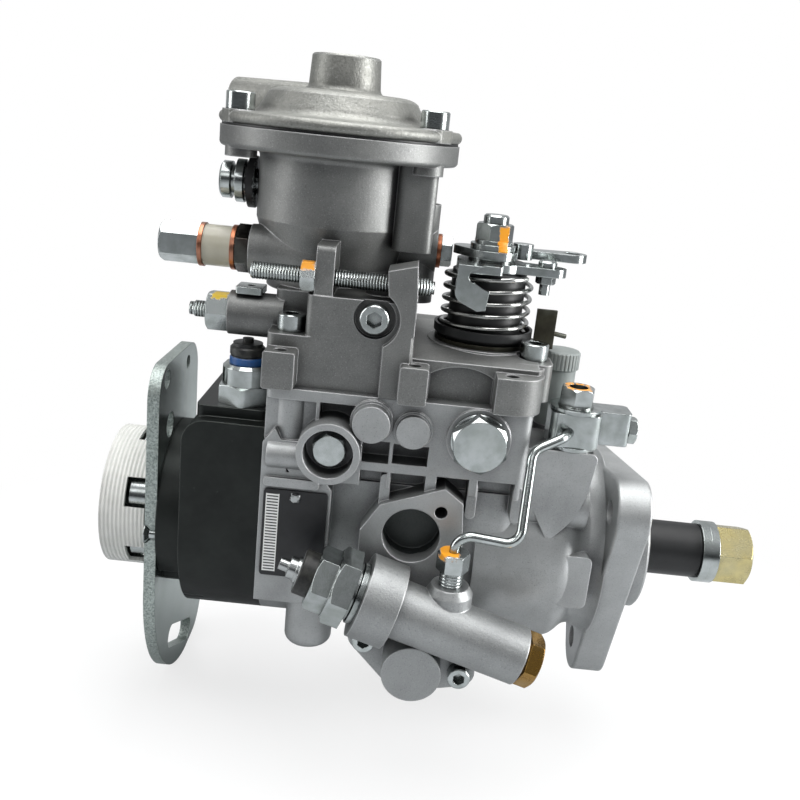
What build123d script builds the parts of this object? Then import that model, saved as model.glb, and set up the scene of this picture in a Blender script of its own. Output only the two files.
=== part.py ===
from build123d import *
import os
from math import atan2, cos, degrees, radians, sin, sqrt

# Distributor-type diesel injection pump. Millimetres.
# X runs along the drive shaft, out of the drive end. Z is up. The label side faces -Y.
# The origin is on the shaft axis, in the flange's mounting face.

os.makedirs("parts", exist_ok=True)

# ---------------------------------------------------------------- sizes
fit = 0.05            # radial running clearance of shafts and pistons
gap = 0.3             # rest clearance between curved faces of different bodies
seat = 0.1            # radial clearance round fixed pieces in their bores

# drive end
pilot_r = 25.0        # spigot that centres the pump in the engine's gear case
pilot_len = 8.0
flange_t = 12.5
bolt_circle_r = 42.0
bolt_hole_r = 4.5
ear_r = 13.0          # corner radius of the three-cornered flange
ear_angle = 261.0     # first flange corner, seen along +X from Y towards Z
ear_count = 3
neck_r = 34.0         # round neck behind the flange
barrel_r = 40.0       # round front of the housing

# housing
body_len = 140.7      # mounting face to the head's seat
body_r = 37.0         # lower half of the housing, round about the shaft
band_end = 47.0       # mounting face to the end of the ribbed band
band_y = 44.5         # shaft axis to the ribbed face on the label side
band_z = 31.5         # lower edge of the ribbed band
joint_z = 64.5        # seat of the governor cover
rear_y = 37.0         # far wall of the governor chamber
wall = 5.0
rib_t = 3.6
window_depth = 9.0
ring_bore_r = 24.8    # bore for the vane pump and the roller ring
spring_bore_r = 30.0  # wider bore behind the cam plate
spring_bore_len = 42.0

# drive shaft
journal_r = 10.0
taper_start = 11.0
taper_len = 22.0
taper_small_r = 7.8
thread_r = 7.0
sleeve_r = 11.0       # cover sleeve over the taper
washer_t = 3.3
washer_r = 12.5
nut_af = 22.0
nut_h = 13.7

# timing device
timing_x = 79.9
timing_z = -35.0
timing_r = 11.0       # advance piston
timing_wall = 4.6
timing_face_y = 37.0
timing_screw_u = 19.3
timing_tilt = 17.0    # cover and cold-start unit are turned about Y by this

# head
head_t = 30.0
head_r = 40.0
head_top_z = 48.0
head_step_z = 52.0
spigot_t = 10.5       # round raised seat for the bracket and valve holders
spigot_r = 33.0
outlet_count = 6
outlet_circle_r = 18.5
outlet_angle = 96.0   # first outlet, from Y towards Z
holder_r = 7.8
holder_thread_r = 5.6
plunger_r = 6.0
barrel_sleeve_r = 11.0

# rear bracket
bracket_t = 4.5
bracket_half_w = 31.0
bracket_top_z = 66.0
bracket_bottom_z = -84.0

# outlet cap
cap_r = 28.0
cap_wall = 1.5
cap_len = 18.5

# governor cover
cover_left = 142.0
cover_right = 45.0
cover_y = 42.0
cover_base_z = 79.0
tower_left = 129.0
tower_right = 92.0
tower_z = 97.5        # boost capsule
boost_x = 125.4
bowl_r = 29.0
bowl_wall = 4.0
bowl_floor_z = 104.0
boost_flange_r = 43.6
boost_flange_z = 142.4
boost_seam_z = 149.8
boost_rim_t = 4.0
dome_base_r = 33.0
dome_top_r = 23.0
dome_top_z = 164.4
crown_r = 13.0
crown_z = 177.0       # governor lever shaft (throttle)
throttle_x = 66.0
throttle_y = -12.0
throttle_shaft_r = 6.0
cup_r = 18.3
cup_z = 81.5
screw_head_r = 5.0    # M6 cap screws
screw_head_h = 6.0
screw_r = 3.0
hex_key_r = 2.9


# features of the label side, given as x, z on the face
cup_xz = (-116.9, 44.2)
cup_out_r = 11.2
cup_in_r = 8.8
cup_face_y = 51.5
cup_depth = 10.0
plug_xz = (-65.2, 53.0)
plug_boss_r = 11.3
plug_af = 19.0
big_disc_xz = (-103.0, 56.0)
big_disc_r = 6.6
small_disc_xz = (-88.3, 54.2)
small_disc_r = 5.9
port_xz = (-85.1, 15.0)
port_r = 10.4
port_face_y = 47.0
port_depth = 12.0
label_w = 23.0
label_h = 34.0
label_xz = (-127.6, 9.9)
label_t = 0.8
pad_y = 44.5
locator_x = -121.0      # blind locating boss below the plate
locator_y = -27.0
locator_z = -42.5
locator_r = 9.2

# fuel inlet
inlet_x = 30.2
inlet_y = -28.0
inlet_seat_z = 49.3
shoulder_w = 9.6       # inlet axis to the shoulder's right side
shoulder_y = 37.0
inlet_body_w = 18.4
inlet_body_h = 12.4
inlet_bolt_r = 5.0

lug_hole_r = 2.3
lug_hole_depth = 9.0


def hexagon_r(across_flats):
    """Corner radius of a hexagon with this width across its flats."""
    return across_flats / sqrt(3)


seal_r = 17.0
seal_len = 8.0
shaft_bore_r = journal_r + fit
chamber_left = body_len - 11.0
chamber_right = 56.0
chamber_y0 = -33.0
chamber_y1 = 31.0
chamber_z = 17.0
ring_bore_front = 31.0

lug_y = 50.5
pocket_x = -134.6
pocket_y = -34.0
pocket_floor_z = 83.0
far_screw_x = -130.0
near_screw_xy = (-48.0, -28.0)
cover_screws_xy = ((pocket_x, pocket_y), near_screw_xy, (-130.0, 26.0), (-52.0, 26.0))
face_screw_xz = (-105.4, 91.6)
idle_y = -38.0
idle_z = 103.4
idle_r = 3.0
idle_lug_x = -123.6
idle_lug_z = 114.6
return_y = -12.0
return_z = 106.6
return_seat_x = -153.8
return_boss_r = 9.2
full_y = -22.0
full_z = 84.6
full_seat_x = -158.6
side_plug_y = 2.0
side_plug_z = 111.2
side_plug_x = -86.0
vent_z = 129.9
chamber_roof_z = 91.0
pin_bore_r = 4.0
throttle_bore_r = throttle_shaft_r + fit
boost_screw_count = 3
boost_screw_circle_r = 38.8
boost_screw_angle = 90.0
column_len = 30.0
column_xy = (30.0, -15.0)

rivet_xz = ((label_xz[0], label_xz[1] + label_h / 2 - 2.5), (label_xz[0], label_xz[1] - label_h / 2 + 2.5))
rivet_r = 1.2

# governor: its shaft above the drive shaft, the pivot of its lever
gear_module = 1.0
shaft_teeth = 40
governor_teeth = 36
governor_z = gear_module * (shaft_teeth + governor_teeth) / 2
governor_shaft_r = 3.5
governor_shaft_x = -chamber_right + 7.0
pivot_x = -107.5
pivot_z = 25.0
pivot_r = 2.5
pin_seat = 2.0

# dust cap on the spare inlet
cap_x = -35.0
cap_y = -8.0
cap_seat_z = 51.5
cap_bore_r = 3.5

# head
head_rear = -body_len - head_t
spigot_face = head_rear - spigot_t
head_skirt = 6.0
solenoid_x = -151.2
solenoid_y = -24.0
solenoid_bore_r = 6.0
shutoff_r = 3.4
shutoff_bottom = 14.0
barrel_front = -134.0
head_screw_r = 2.5
head_screw_head_r = 4.25
head_screw_head_h = 5.0
head_screw_depth = 9.0
head_screw_yz = ((-31.0, 36.0), (31.0, 36.0), (-24.9, -24.9), (24.9, -24.9))
screw_pocket = 8.0
bracket_screw_r = 2.5
bracket_screw_circle_r = 29.2
bracket_screw_count = 3
bracket_screw_angle = outlet_angle - 30.0
holder_screw_r = 6.0
holder_screw_len = 9.0

# timing device cover and cold-start unit
tilt = radians(timing_tilt)
cover_plate_t = 6.5
timing_boss_y = 57.5
unit_v = 25.8         # axis of the cold-start unit above the piston's, in the tilted frame
unit_y = 62.6
unit_r = 10.4
collar_r = 15.0
union_xy = (-70.0, -60.0)
hole_bottom = 12.0
timing_screw_len = 16.0

with BuildPart() as housing_core:
    # seal recess, shaft bore, pump and roller ring bore, wide rear bore
    with BuildSketch(Plane.XY):
        with BuildLine():
            Polyline((pilot_len + 1, 0), (pilot_len + 1, seal_r), (pilot_len - seal_len, seal_r),
                     (pilot_len - seal_len, shaft_bore_r), (-ring_bore_front, shaft_bore_r),
                     (-ring_bore_front, ring_bore_r), (-body_len + spring_bore_len, ring_bore_r),
                     (-body_len + spring_bore_len, spring_bore_r), (-body_len - 1, spring_bore_r),
                     (-body_len - 1, 0), (pilot_len + 1, 0))
        make_face()
    revolve(axis=Axis.X)
    # governor chamber, open under the cover
    with BuildSketch(Plane.XY.offset(chamber_z)):
        with Locations((-(chamber_left + chamber_right) / 2, (chamber_y0 + chamber_y1) / 2)):
            RectangleRounded(chamber_left - chamber_right, chamber_y1 - chamber_y0, 8)
    extrude(amount=joint_z - chamber_z + 1)
    # piston bore across the bottom, and the slot for its pin
    with BuildSketch(Plane.XZ.offset(timing_face_y + 1)):
        with Locations((-timing_x, timing_z)):
            Circle(timing_r + fit)
    extrude(amount=-2 * timing_face_y - 2)
    with BuildSketch(Plane.XY.offset(timing_z)):
        with Locations((-timing_x, 0)):
            Rectangle(9.0, 26.0)
    extrude(amount=-timing_z - ring_bore_r + 4)
    # fuel way down from the inlet
    with Locations((-inlet_x, inlet_y, inlet_seat_z + 1)):
        Cylinder(4.1, 24.0, align=(Align.CENTER, Align.CENTER, Align.MAX))

# ---------------------------------------------------------------- pump housing
with BuildPart() as pump_housing:
    # three-cornered mounting flange
    with BuildSketch(Plane.YZ.offset(-flange_t)):
        with PolarLocations(bolt_circle_r, ear_count, start_angle=ear_angle):
            Circle(ear_r)
        make_hull()
    extrude(amount=flange_t)
    fillet(pump_housing.faces().sort_by(Axis.X)[0].edges(), 1.2)
    fillet(pump_housing.faces().sort_by(Axis.X)[-1].edges(), 1.0)
    # neck and round front, one turned outline about the shaft
    with BuildSketch(Plane.XY):
        with BuildLine():
            Polyline((-band_end - 14, 0), (-flange_t + 1, 0), (-flange_t + 1, neck_r + 4))
            ThreePointArc((-flange_t + 1, neck_r + 4), (-flange_t - 2, neck_r + 1), (-flange_t - 5, neck_r))
            Bezier((-flange_t - 5, neck_r), (-flange_t - 11, neck_r), (-flange_t - 11, barrel_r),
                   (-flange_t - 17, barrel_r))
            Polyline((-flange_t - 17, barrel_r), (-band_end - 14, barrel_r), (-band_end - 14, 0))
        make_face()
    revolve(axis=Axis.X)
    # rear body: round below the shaft, straight walls up to the cover's seat
    with BuildSketch(Plane.YZ.offset(-body_len)):
        Circle(body_r)
        with Locations((0, joint_z / 2)):
            Rectangle(2 * body_r, joint_z)
    extrude(amount=body_len - band_end)
    fillet(pump_housing.edges().filter_by(Axis.Z).group_by(Axis.X)[-1]
           .filter_by(lambda e: abs(e.length - joint_z) < 40 and e.center().Z > 20), 6)
    # collar that the head's seat widens to
    with BuildSketch(Plane.YZ.offset(-body_len)):
        Circle(head_r)
        with Locations((0, head_top_z / 2)):
            Rectangle(2 * head_r, head_top_z)
    extrude(amount=11)
    # ribbed band under the cover on the label side
    with BuildSketch(Plane.XZ.offset(body_r - 6)):
        with BuildLine():
            Polyline((-band_end, band_z), (-band_end, joint_z), (-body_len, joint_z), (-body_len, band_z + 14),
                     (-body_len + 12, band_z), (-band_end, band_z))
        make_face()
    extrude(amount=band_y - body_r + 6)
    fillet(pump_housing.edges().filter_by(Axis.Z).sort_by(Axis.Y)[0:2], 3)
    # windows between the ribs, open to the recessed wall
    window_floor = band_y - window_depth
    with BuildSketch(Plane.XZ.offset(window_floor)):
        with Locations((-114.0, 57.2)):
            Rectangle(15.0, 7.0)
        with Locations((-100.7, 44.6)):
            Rectangle(9.6, 8.2)
        with Locations((-88.4, 44.6)):
            Rectangle(12.6, 7.4)
        with Locations((-100.7, 33.8)):
            Rectangle(9.6, 7.0)
        with Locations((-88.4, 33.8)):
            Rectangle(12.6, 7.0)
        with Locations((-72.4, 34.1)):
            Rectangle(11.6, 7.2)
        with Locations((-57.0, 34.1)):
            Rectangle(13.2, 7.2)
    extrude(amount=window_depth + 1, mode=Mode.SUBTRACT)
    # shallow corner under the cover's seat, beside the head
    with BuildSketch(Plane.XZ.offset(band_y - 3.0)):
        with Locations((-body_len + 8.0, joint_z - 11.5)):
            Rectangle(20.0, 15.0)
    extrude(amount=5.0, mode=Mode.SUBTRACT)
    # ribs that run on below the band
    with BuildSketch(Plane.XZ.offset(body_r - 6)):
        for rib_x in (-96.2, -80.2, -64.9, -band_end - rib_t / 2):
            with Locations((rib_x, band_z - 2)):
                SlotOverall(14.0, rib_t, rotation=90)
    extrude(amount=window_depth + 4)
    # upright half-round in that corner
    with Locations((-body_len + 9.0, -band_y + 7.0, joint_z - 11.5)):
        Cylinder(6.0, 15.0)
    # turned faces on the ribbed band
    with BuildSketch(Plane.XZ.offset(band_y - window_depth)):
        with Locations(big_disc_xz):
            Circle(big_disc_r + 1.0)
        with Locations(small_disc_xz):
            Circle(small_disc_r + 1.0)
        with Locations(plug_xz):
            Circle(plug_boss_r)
        with Locations(cup_xz):
            Circle(cup_out_r)
    extrude(amount=window_depth + 1.2)
    with BuildSketch(Plane.XZ.offset(band_y)):
        with Locations(big_disc_xz):
            Circle(big_disc_r)
    extrude(amount=5.5)
    with BuildSketch(Plane.XZ.offset(band_y)):
        with Locations(small_disc_xz):
            Circle(small_disc_r)
    extrude(amount=4.0)
    with BuildSketch(Plane.XZ.offset(band_y)):
        with Locations(cup_xz):
            Circle(cup_out_r)
    extrude(amount=cup_face_y - band_y)
    # oil way boss from the cup towards the head
    with Locations(Plane(origin=(cup_xz[0] - 22, -band_y + 2.0, cup_xz[1] - 4.5), z_dir=(1, 0, 0))):
        Cylinder(5.2, 22, align=(Align.CENTER, Align.CENTER, Align.MIN))
    # raised pad that carries the name plate
    with BuildSketch(Plane.XZ.offset(body_r - 8)):
        with BuildLine():
            Polyline((-body_len, -18), (-body_len, 44), (-body_len + 4, 49.5), (-body_len + 8, 43),
                     (-body_len + 9, 33.6), (-118.5, 32.4), (-115, 28), (-115, -13), (-124, -18),
                     (-body_len, -18))
        make_face()
    extrude(amount=pad_y - body_r + 8)
    with BuildSketch(Plane.XZ.offset(pad_y)):
        with Locations((-129.5, label_xz[1] + label_h / 2 + 3.0)):
            RectangleRounded(20.0, 3.4, 1.4)
    extrude(amount=1.4)
    # machined port face with its chamfered corners
    with BuildSketch(Plane.XZ.offset(body_r - 8)):
        with BuildLine():
            Polyline((-74.8, 34.2), (-67.8, 29.2), (-65.3, 1.0), (-71.0, -7.5), (-97.0, -7.5),
                     (-103.6, 0.0), (-103.6, 15.4), (-97.3, 25.8), (-74.8, 34.2))
        make_face()
    extrude(amount=port_face_y - body_r + 8)
    with BuildSketch(Plane.XZ.offset(port_face_y)):
        with Locations(port_xz):
            Circle(port_r)
    extrude(amount=-port_depth, mode=Mode.SUBTRACT)
    with Locations(Plane.XZ.offset(port_face_y)):
        with Locations((-75.3, 25.1), (-94.5, 0.5)):
            Hole(lug_hole_r, 11)
    # timing device: a round boss right across the bottom
    with BuildSketch(Plane.XZ.offset(timing_face_y)):
        with Locations((-timing_x, timing_z)):
            Circle(timing_r + timing_wall)
            with Locations(Rotation(0, 0, -timing_tilt)):
                with GridLocations(2 * timing_screw_u, 1, 2, 1):
                    Circle(6.0)
            make_hull()
    extrude(amount=-2 * timing_face_y)
    # locating boss under the name plate, its end rounded off
    with BuildSketch(Plane.XZ.offset(-locator_y)):
        with BuildLine():
            Polyline((locator_x, 0), (locator_x - locator_r, 0), (locator_x - locator_r, locator_z + 3.0))
            ThreePointArc((locator_x - locator_r, locator_z + 3.0), (locator_x - locator_r + 0.9, locator_z + 0.9),
                          (locator_x - locator_r + 3.0, locator_z))
            Polyline((locator_x - locator_r + 3.0, locator_z), (locator_x, locator_z), (locator_x, 0))
        make_face()
    revolve(axis=Axis((locator_x, locator_y, 0), (0, 0, 1)))
    # bearing bosses beside the neck and under the pipe
    with Locations(Plane(origin=(-band_end + 2, -28.0, 26.0), z_dir=(1, 0, 0))):
        Cylinder(9.0, 24.0, align=(Align.CENTER, Align.CENTER, Align.MIN))
    with BuildSketch(Plane.XZ.offset(20)):
        with Locations((-22.5, -1.0)):
            RectangleRounded(11.0, 21.0, 2.5)
    extrude(amount=18.5)
    # flat-faced shoulder for the fuel inlet, running out in the round front
    with BuildSketch(Plane.XZ.offset(shoulder_y)):
        with BuildLine():
            Polyline((-band_end - 1, 36.0), (-band_end - 1, inlet_seat_z), (-inlet_x + shoulder_w, inlet_seat_z),
                     (-inlet_x + shoulder_w - 1.6, 37.0))
            ThreePointArc((-inlet_x + shoulder_w - 1.6, 37.0), (-inlet_x + 2.6, 22.0), (-inlet_x - 4.8, 14.0))
            ThreePointArc((-inlet_x - 4.8, 14.0), (-inlet_x - 10.4, 24.0), (-band_end - 1, 36.0))
        make_face()
    extrude(amount=-25.0)
    fillet(pump_housing.edges().filter_by(Axis.Y)
           .filter_by(lambda e: abs(e.center().X + inlet_x - shoulder_w) < 0.1), 2.5)
    # ribs on the far wall
    with BuildSketch(Plane.XZ.offset(-body_r)):
        for rib_x in (-128.0, -104.0, -62.0):
            with Locations((rib_x, 34.0)):
                SlotOverall(64.0, rib_t, rotation=90)
        with Locations((-95.0, 46.0)):
            SlotOverall(86.0, rib_t)
    extrude(amount=-4.0)
    # recess of the cup, holes for the plate's rivets
    with Locations(Plane.XZ.offset(cup_face_y)):
        with Locations(cup_xz):
            Cylinder(cup_in_r, cup_depth, align=(Align.CENTER, Align.CENTER, Align.MAX),
                     mode=Mode.SUBTRACT)
    # pilot
    with BuildSketch(Plane.YZ):
        Circle(pilot_r)
    extrude(amount=pilot_len)
    chamfer(pump_housing.faces().sort_by(Axis.X)[-1].edges(), 0.8)
    # flange bolt holes
    with Locations(Plane.YZ):
        with PolarLocations(bolt_circle_r, ear_count, start_angle=ear_angle):
            Hole(bolt_hole_r, flange_t + 2)
    add(housing_core.part, mode=Mode.SUBTRACT)
    # tapped holes: cover screws from above, head screws from behind, timing screws from both sides
    with BuildSketch(Plane.XY.offset(joint_z)):
        with Locations(*cover_screws_xy):
            Circle(screw_r + seat)
    extrude(amount=-hole_bottom - 1.0, mode=Mode.SUBTRACT)
    with BuildSketch(Plane.YZ.offset(-body_len)):
        with Locations(*head_screw_yz):
            Circle(head_screw_r + seat)
    extrude(amount=head_screw_depth + 0.5, mode=Mode.SUBTRACT)
    for side in (-1, 1):
        with BuildSketch(Plane.XZ.offset(side * timing_face_y)):
            with Locations((-timing_x, timing_z)):
                with Locations(Rotation(0, 0, -timing_tilt)):
                    with GridLocations(2 * timing_screw_u, 1, 2, 1):
                        Circle(head_screw_r + seat)
        extrude(amount=-side * (timing_screw_len - cover_plate_t + 0.5), mode=Mode.SUBTRACT)
    for x, z in rivet_xz:
        with Locations(Plane(origin=(x, -pad_y, z), z_dir=(0, 1, 0))):
            Cylinder(rivet_r + seat, 5.0, align=(Align.CENTER, Align.CENTER, Align.MIN),
                     mode=Mode.SUBTRACT)
    # seats of the governor's shaft and of its lever's pivot pin, in the chamber's walls
    with Locations(Plane(origin=(governor_shaft_x, 0, governor_z), z_dir=(-1, 0, 0))):
        Cylinder(governor_shaft_r, 30.0, align=(Align.CENTER, Align.CENTER, Align.MIN), mode=Mode.SUBTRACT)
    with Locations(Plane(origin=(pivot_x, chamber_y0 - pin_seat, pivot_z), z_dir=(0, 1, 0))):
        Cylinder(pivot_r, chamber_y1 - chamber_y0 + 2 * pin_seat,
                 align=(Align.CENTER, Align.CENTER, Align.MIN), mode=Mode.SUBTRACT)
    # boss of the spare inlet
    with Locations((cap_x, cap_y, cap_seat_z)):
        Cylinder(7.0, 16.0, align=(Align.CENTER, Align.CENTER, Align.MAX))
        Cylinder(cap_bore_r, 12.0, align=(Align.CENTER, Align.CENTER, Align.MAX), mode=Mode.SUBTRACT)
pump_housing.part.label = "pump_housing"
export_step(pump_housing.part, "parts/pump_housing.step")

# ---------------------------------------------------------------- governor cover
with BuildPart() as cover_core:
    # governor chamber under the tower, lower under the lever shaft
    with BuildSketch(Plane.XY.offset(joint_z - 1)):
        with Locations((-(chamber_left + tower_right + 4) / 2, (chamber_y0 + chamber_y1) / 2)):
            RectangleRounded(chamber_left - tower_right - 4, chamber_y1 - chamber_y0, 8)
    extrude(amount=chamber_roof_z - joint_z + 1)
    with BuildSketch(Plane.XY.offset(joint_z - 1)):
        with Locations((-(tower_right + 14 + chamber_right) / 2, (chamber_y0 + chamber_y1) / 2)):
            RectangleRounded(tower_right + 14 - chamber_right, chamber_y1 - chamber_y0, 8)
    extrude(amount=cover_base_z - 4 - joint_z + 1)
    # bowl of the boost capsule and the guide bore of its pin
    with BuildSketch(Plane.XZ):
        with BuildLine():
            Polyline((-boost_x, chamber_roof_z - 1), (-boost_x + pin_bore_r, chamber_roof_z - 1),
                     (-boost_x + pin_bore_r, bowl_floor_z + bowl_wall),
                     (-boost_x + 17, bowl_floor_z + bowl_wall))
            ThreePointArc((-boost_x + 17, bowl_floor_z + bowl_wall),
                          (-boost_x + 23.3, bowl_floor_z + bowl_wall + 6.0),
                          (-boost_x + bowl_r - bowl_wall, bowl_floor_z + bowl_wall + 13.0))
            Polyline((-boost_x + bowl_r - bowl_wall, bowl_floor_z + bowl_wall + 13.0),
                     (-boost_x + bowl_r - bowl_wall, boost_seam_z + 1), (-boost_x, boost_seam_z + 1),
                     (-boost_x, chamber_roof_z - 1))
        make_face()
    revolve(axis=Axis((-boost_x, 0, 0), (0, 0, 1)))
    # bearing of the lever shaft
    with Locations((-throttle_x, throttle_y, joint_z)):
        Cylinder(throttle_bore_r, 40, align=(Align.CENTER, Align.CENTER, Align.MIN))
    # threads and ways of the fittings
    with Locations(Plane(origin=(return_seat_x - 1, return_y, return_z), z_dir=(1, 0, 0))):
        Cylinder(4.0, 26, align=(Align.CENTER, Align.CENTER, Align.MIN))
    with Locations(Plane(origin=(full_seat_x - 1, full_y, full_z), z_dir=(1, 0, 0))):
        Cylinder(3.0, 26, align=(Align.CENTER, Align.CENTER, Align.MIN))
    with Locations(Plane(origin=(side_plug_x + 1, side_plug_y, side_plug_z), z_dir=(-1, 0, 0))):
        Cylinder(4.0, 14, align=(Align.CENTER, Align.CENTER, Align.MIN))
    with Locations(Plane(origin=(-boost_x - bowl_r - 3, 0, vent_z), z_dir=(1, 0, 0))):
        Cylinder(5.0, 10, align=(Align.CENTER, Align.CENTER, Align.MIN))

with BuildPart() as governor_cover:
    # base over the whole governor chamber
    with BuildSketch(Plane.XY.offset(joint_z)):
        with Locations((-(cover_left + cover_right) / 2, -(cover_y - rear_y) / 2)):
            RectangleRounded(cover_left - cover_right, cover_y + rear_y, 5)
    extrude(amount=cover_base_z - joint_z)
    # tower above the governor levers
    with BuildSketch(Plane.XY.offset(cover_base_z - 2)):
        with Locations((-(tower_left + tower_right) / 2, -(cover_y - rear_y) / 2)):
            RectangleRounded(tower_left - tower_right, cover_y + rear_y, 3)
    extrude(amount=tower_z - cover_base_z + 2)
    # shoulder towards the head, stepped down for the first cover screw
    with BuildSketch(Plane.XY.offset(cover_base_z - 2)):
        with Locations((-(cover_left + tower_left - 6) / 2, -(cover_y - rear_y) / 2)):
            RectangleRounded(cover_left - tower_left + 6, cover_y + rear_y, 3)
    extrude(amount=pocket_floor_z - cover_base_z + 2)
    with BuildSketch(Plane.XY.offset(pocket_floor_z - 1)):
        with Locations((-(cover_left + tower_left - 6) / 2, 2.0)):
            RectangleRounded(cover_left - tower_left + 6, 56.0, 3)
    extrude(amount=tower_z - pocket_floor_z - 1)
    # sloping roof towards the drive end, carrying the lever shaft
    with BuildSketch(Plane.YZ.offset(-tower_right - 2)):
        with BuildLine():
            Polyline((rear_y, cover_base_z - 2), (rear_y, cover_base_z + 0.5), (18, cup_z - 0.6),
                     (throttle_y - cup_r + 2, cup_z - 0.4))
            ThreePointArc((throttle_y - cup_r + 2, cup_z - 0.4), (-36, cup_z - 1.4),
                          (-cover_y, cover_base_z))
            Polyline((-cover_y, cover_base_z), (-cover_y, cover_base_z - 2), (rear_y, cover_base_z - 2))
        make_face()
    extrude(amount=tower_right - cover_right)
    with Locations((-throttle_x, throttle_y, cover_base_z - 4)):
        Cylinder(cup_r + 2.0, cup_z - cover_base_z + 4, align=(Align.CENTER, Align.CENTER, Align.MIN))
    with BuildSketch(Plane.XY.offset(joint_z + 2)):
        with Locations((near_screw_xy[0] - 1.0, near_screw_xy[1] - 1.0)):
            RectangleRounded(15.0, 16.0, 4)
    extrude(amount=cover_base_z + 1.0 - joint_z - 2)
    # lugs with tapped holes along the label side
    with BuildSketch(Plane.XZ.offset(cover_y - 3)):
        with Locations((-136.2, joint_z + 7.4)):
            RectangleRounded(11.0, 13.2, 1.0)
        with Locations((-90.1, joint_z + 6.6)):
            RectangleRounded(9.8, 13.2, 1.0)
    extrude(amount=lug_y - cover_y + 3)
    with BuildSketch(Plane.XY.offset(joint_z)):
        with BuildLine():
            Polyline((-62.0, -cover_y + 4), (-62.0, -lug_y), (-55.0, -lug_y))
            ThreePointArc((-55.0, -lug_y), (-48.0, -47.5), (-cover_right, -cover_y + 1))
            Polyline((-cover_right, -cover_y + 1), (-cover_right, -cover_y + 4), (-62.0, -cover_y + 4))
        make_face()
    extrude(amount=12.8)
    # hollow between the lugs, arched at the top
    with BuildSketch(Plane.XZ.offset(cover_y - 3)):
        with BuildLine():
            Polyline((-84.6, joint_z - 1), (-84.6, 74.4))
            ThreePointArc((-84.6, 74.4), (-73.0, 77.6), (-62.2, 74.4))
            Polyline((-62.2, 74.4), (-62.2, joint_z - 1), (-84.6, joint_z - 1))
        make_face()
    extrude(amount=6, mode=Mode.SUBTRACT)
    # hooked rib that guards the adjusting screw, with its round relief
    with BuildSketch(Plane.XZ.offset(cover_y - 12)):
        with BuildLine():
            Polyline((-101.7, joint_z), (-101.7, 82.6))
            ThreePointArc((-101.7, 82.6), (-96.6, 91.4), (-101.3, 100.2))
            Polyline((-101.3, 100.2), (-102.2, 108.6), (-92.4, 111.2), (-91.4, 99.8), (-91.4, joint_z),
                     (-101.7, joint_z))
        make_face()
    extrude(amount=15)
    # lug of the idle stop screw
    with BuildSketch(Plane.YZ.offset(idle_lug_x - 3.2)):
        with Locations((idle_y + 5, (tower_z - 6 + idle_lug_z) / 2)):
            RectangleRounded(17.0, idle_lug_z - tower_z + 6, 2.5)
    extrude(amount=6.4)
    # boost capsule: rounded bowl on the tower, flange with screw bosses
    with BuildSketch(Plane.XZ):
        with BuildLine():
            Polyline((-boost_x, tower_z - 4), (-boost_x + 24, tower_z - 4), (-boost_x + 24.4, tower_z + 6))
            ThreePointArc((-boost_x + 24.4, tower_z + 6), (-boost_x + 26.8, tower_z + 14),
                          (-boost_x + bowl_r, tower_z + 21))
            Line((-boost_x + bowl_r, tower_z + 21), (-boost_x + bowl_r, boost_flange_z - 2.5))
            ThreePointArc((-boost_x + bowl_r, boost_flange_z - 2.5),
                          (-boost_x + bowl_r + 0.8, boost_flange_z - 0.7),
                          (-boost_x + bowl_r + 2.6, boost_flange_z))
            Line((-boost_x + bowl_r + 2.6, boost_flange_z), (-boost_x + boost_flange_r - 1.6, boost_flange_z))
            ThreePointArc((-boost_x + boost_flange_r - 1.6, boost_flange_z),
                          (-boost_x + boost_flange_r - 0.5, boost_flange_z + 0.5),
                          (-boost_x + boost_flange_r, boost_flange_z + 1.6))
            Polyline((-boost_x + boost_flange_r, boost_flange_z + 1.6),
                     (-boost_x + boost_flange_r, boost_seam_z), (-boost_x, boost_seam_z),
                     (-boost_x, tower_z - 4))
        make_face()
    revolve(axis=Axis((-boost_x, 0, 0), (0, 0, 1)))
    with Locations((-boost_x, 0, boost_flange_z - 3.0)):
        with PolarLocations(boost_screw_circle_r - 1.0, boost_screw_count, start_angle=boost_screw_angle):
            Cylinder(5.6, 5.0, align=(Align.CENTER, Align.CENTER, Align.MIN))
    # flat-faced column under the screw beside the lever
    with BuildSketch(Plane.XY.offset(boost_flange_z - column_len)):
        with Locations((-boost_x + column_xy[0], column_xy[1])):
            RectangleRounded(14.0, 13.0, 3.0)
    extrude(amount=column_len + 1)
    # return boss, widening into the tower
    with BuildSketch(Plane.XY.offset(return_z)):
        with BuildLine():
            Polyline((return_seat_x, return_y), (return_seat_x, return_y - return_boss_r),
                     (return_seat_x + 6, return_y - return_boss_r - 0.4))
            Bezier((return_seat_x + 6, return_y - return_boss_r - 0.4),
                   (return_seat_x + 16, return_y - return_boss_r - 1.5),
                   (return_seat_x + 20, return_y - return_boss_r - 5), (return_seat_x + 30, return_y - 14.5))
            Polyline((return_seat_x + 30, return_y - 14.5), (return_seat_x + 30, return_y),
                     (return_seat_x, return_y))
        make_face()
    revolve(axis=Axis((return_seat_x, return_y, return_z), (1, 0, 0)))
    # full-load screw boss
    with Locations(Plane(origin=(full_seat_x, full_y, full_z), z_dir=(1, 0, 0))):
        Cylinder(8.0, 20, align=(Align.CENTER, Align.CENTER, Align.MIN))
    # boss of the side plug and the ridge that joins it to the tower
    with Locations(Plane(origin=(side_plug_x, side_plug_y, side_plug_z), z_dir=(-1, 0, 0))):
        Cylinder(8.2, 24, align=(Align.CENTER, Align.CENTER, Align.MIN))
    with Locations((-93.0, side_plug_y, tower_z - 6)):
        Cylinder(7.0, boost_flange_z - tower_z - 8, align=(Align.CENTER, Align.CENTER, Align.MIN))
    with BuildSketch(Plane.XY.offset(tower_z - 4)):
        with Locations((-101.0, -19.0)):
            RectangleRounded(18.0, 26.0, 5)
    extrude(amount=8)
    add(cover_core.part, mode=Mode.SUBTRACT)
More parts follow.
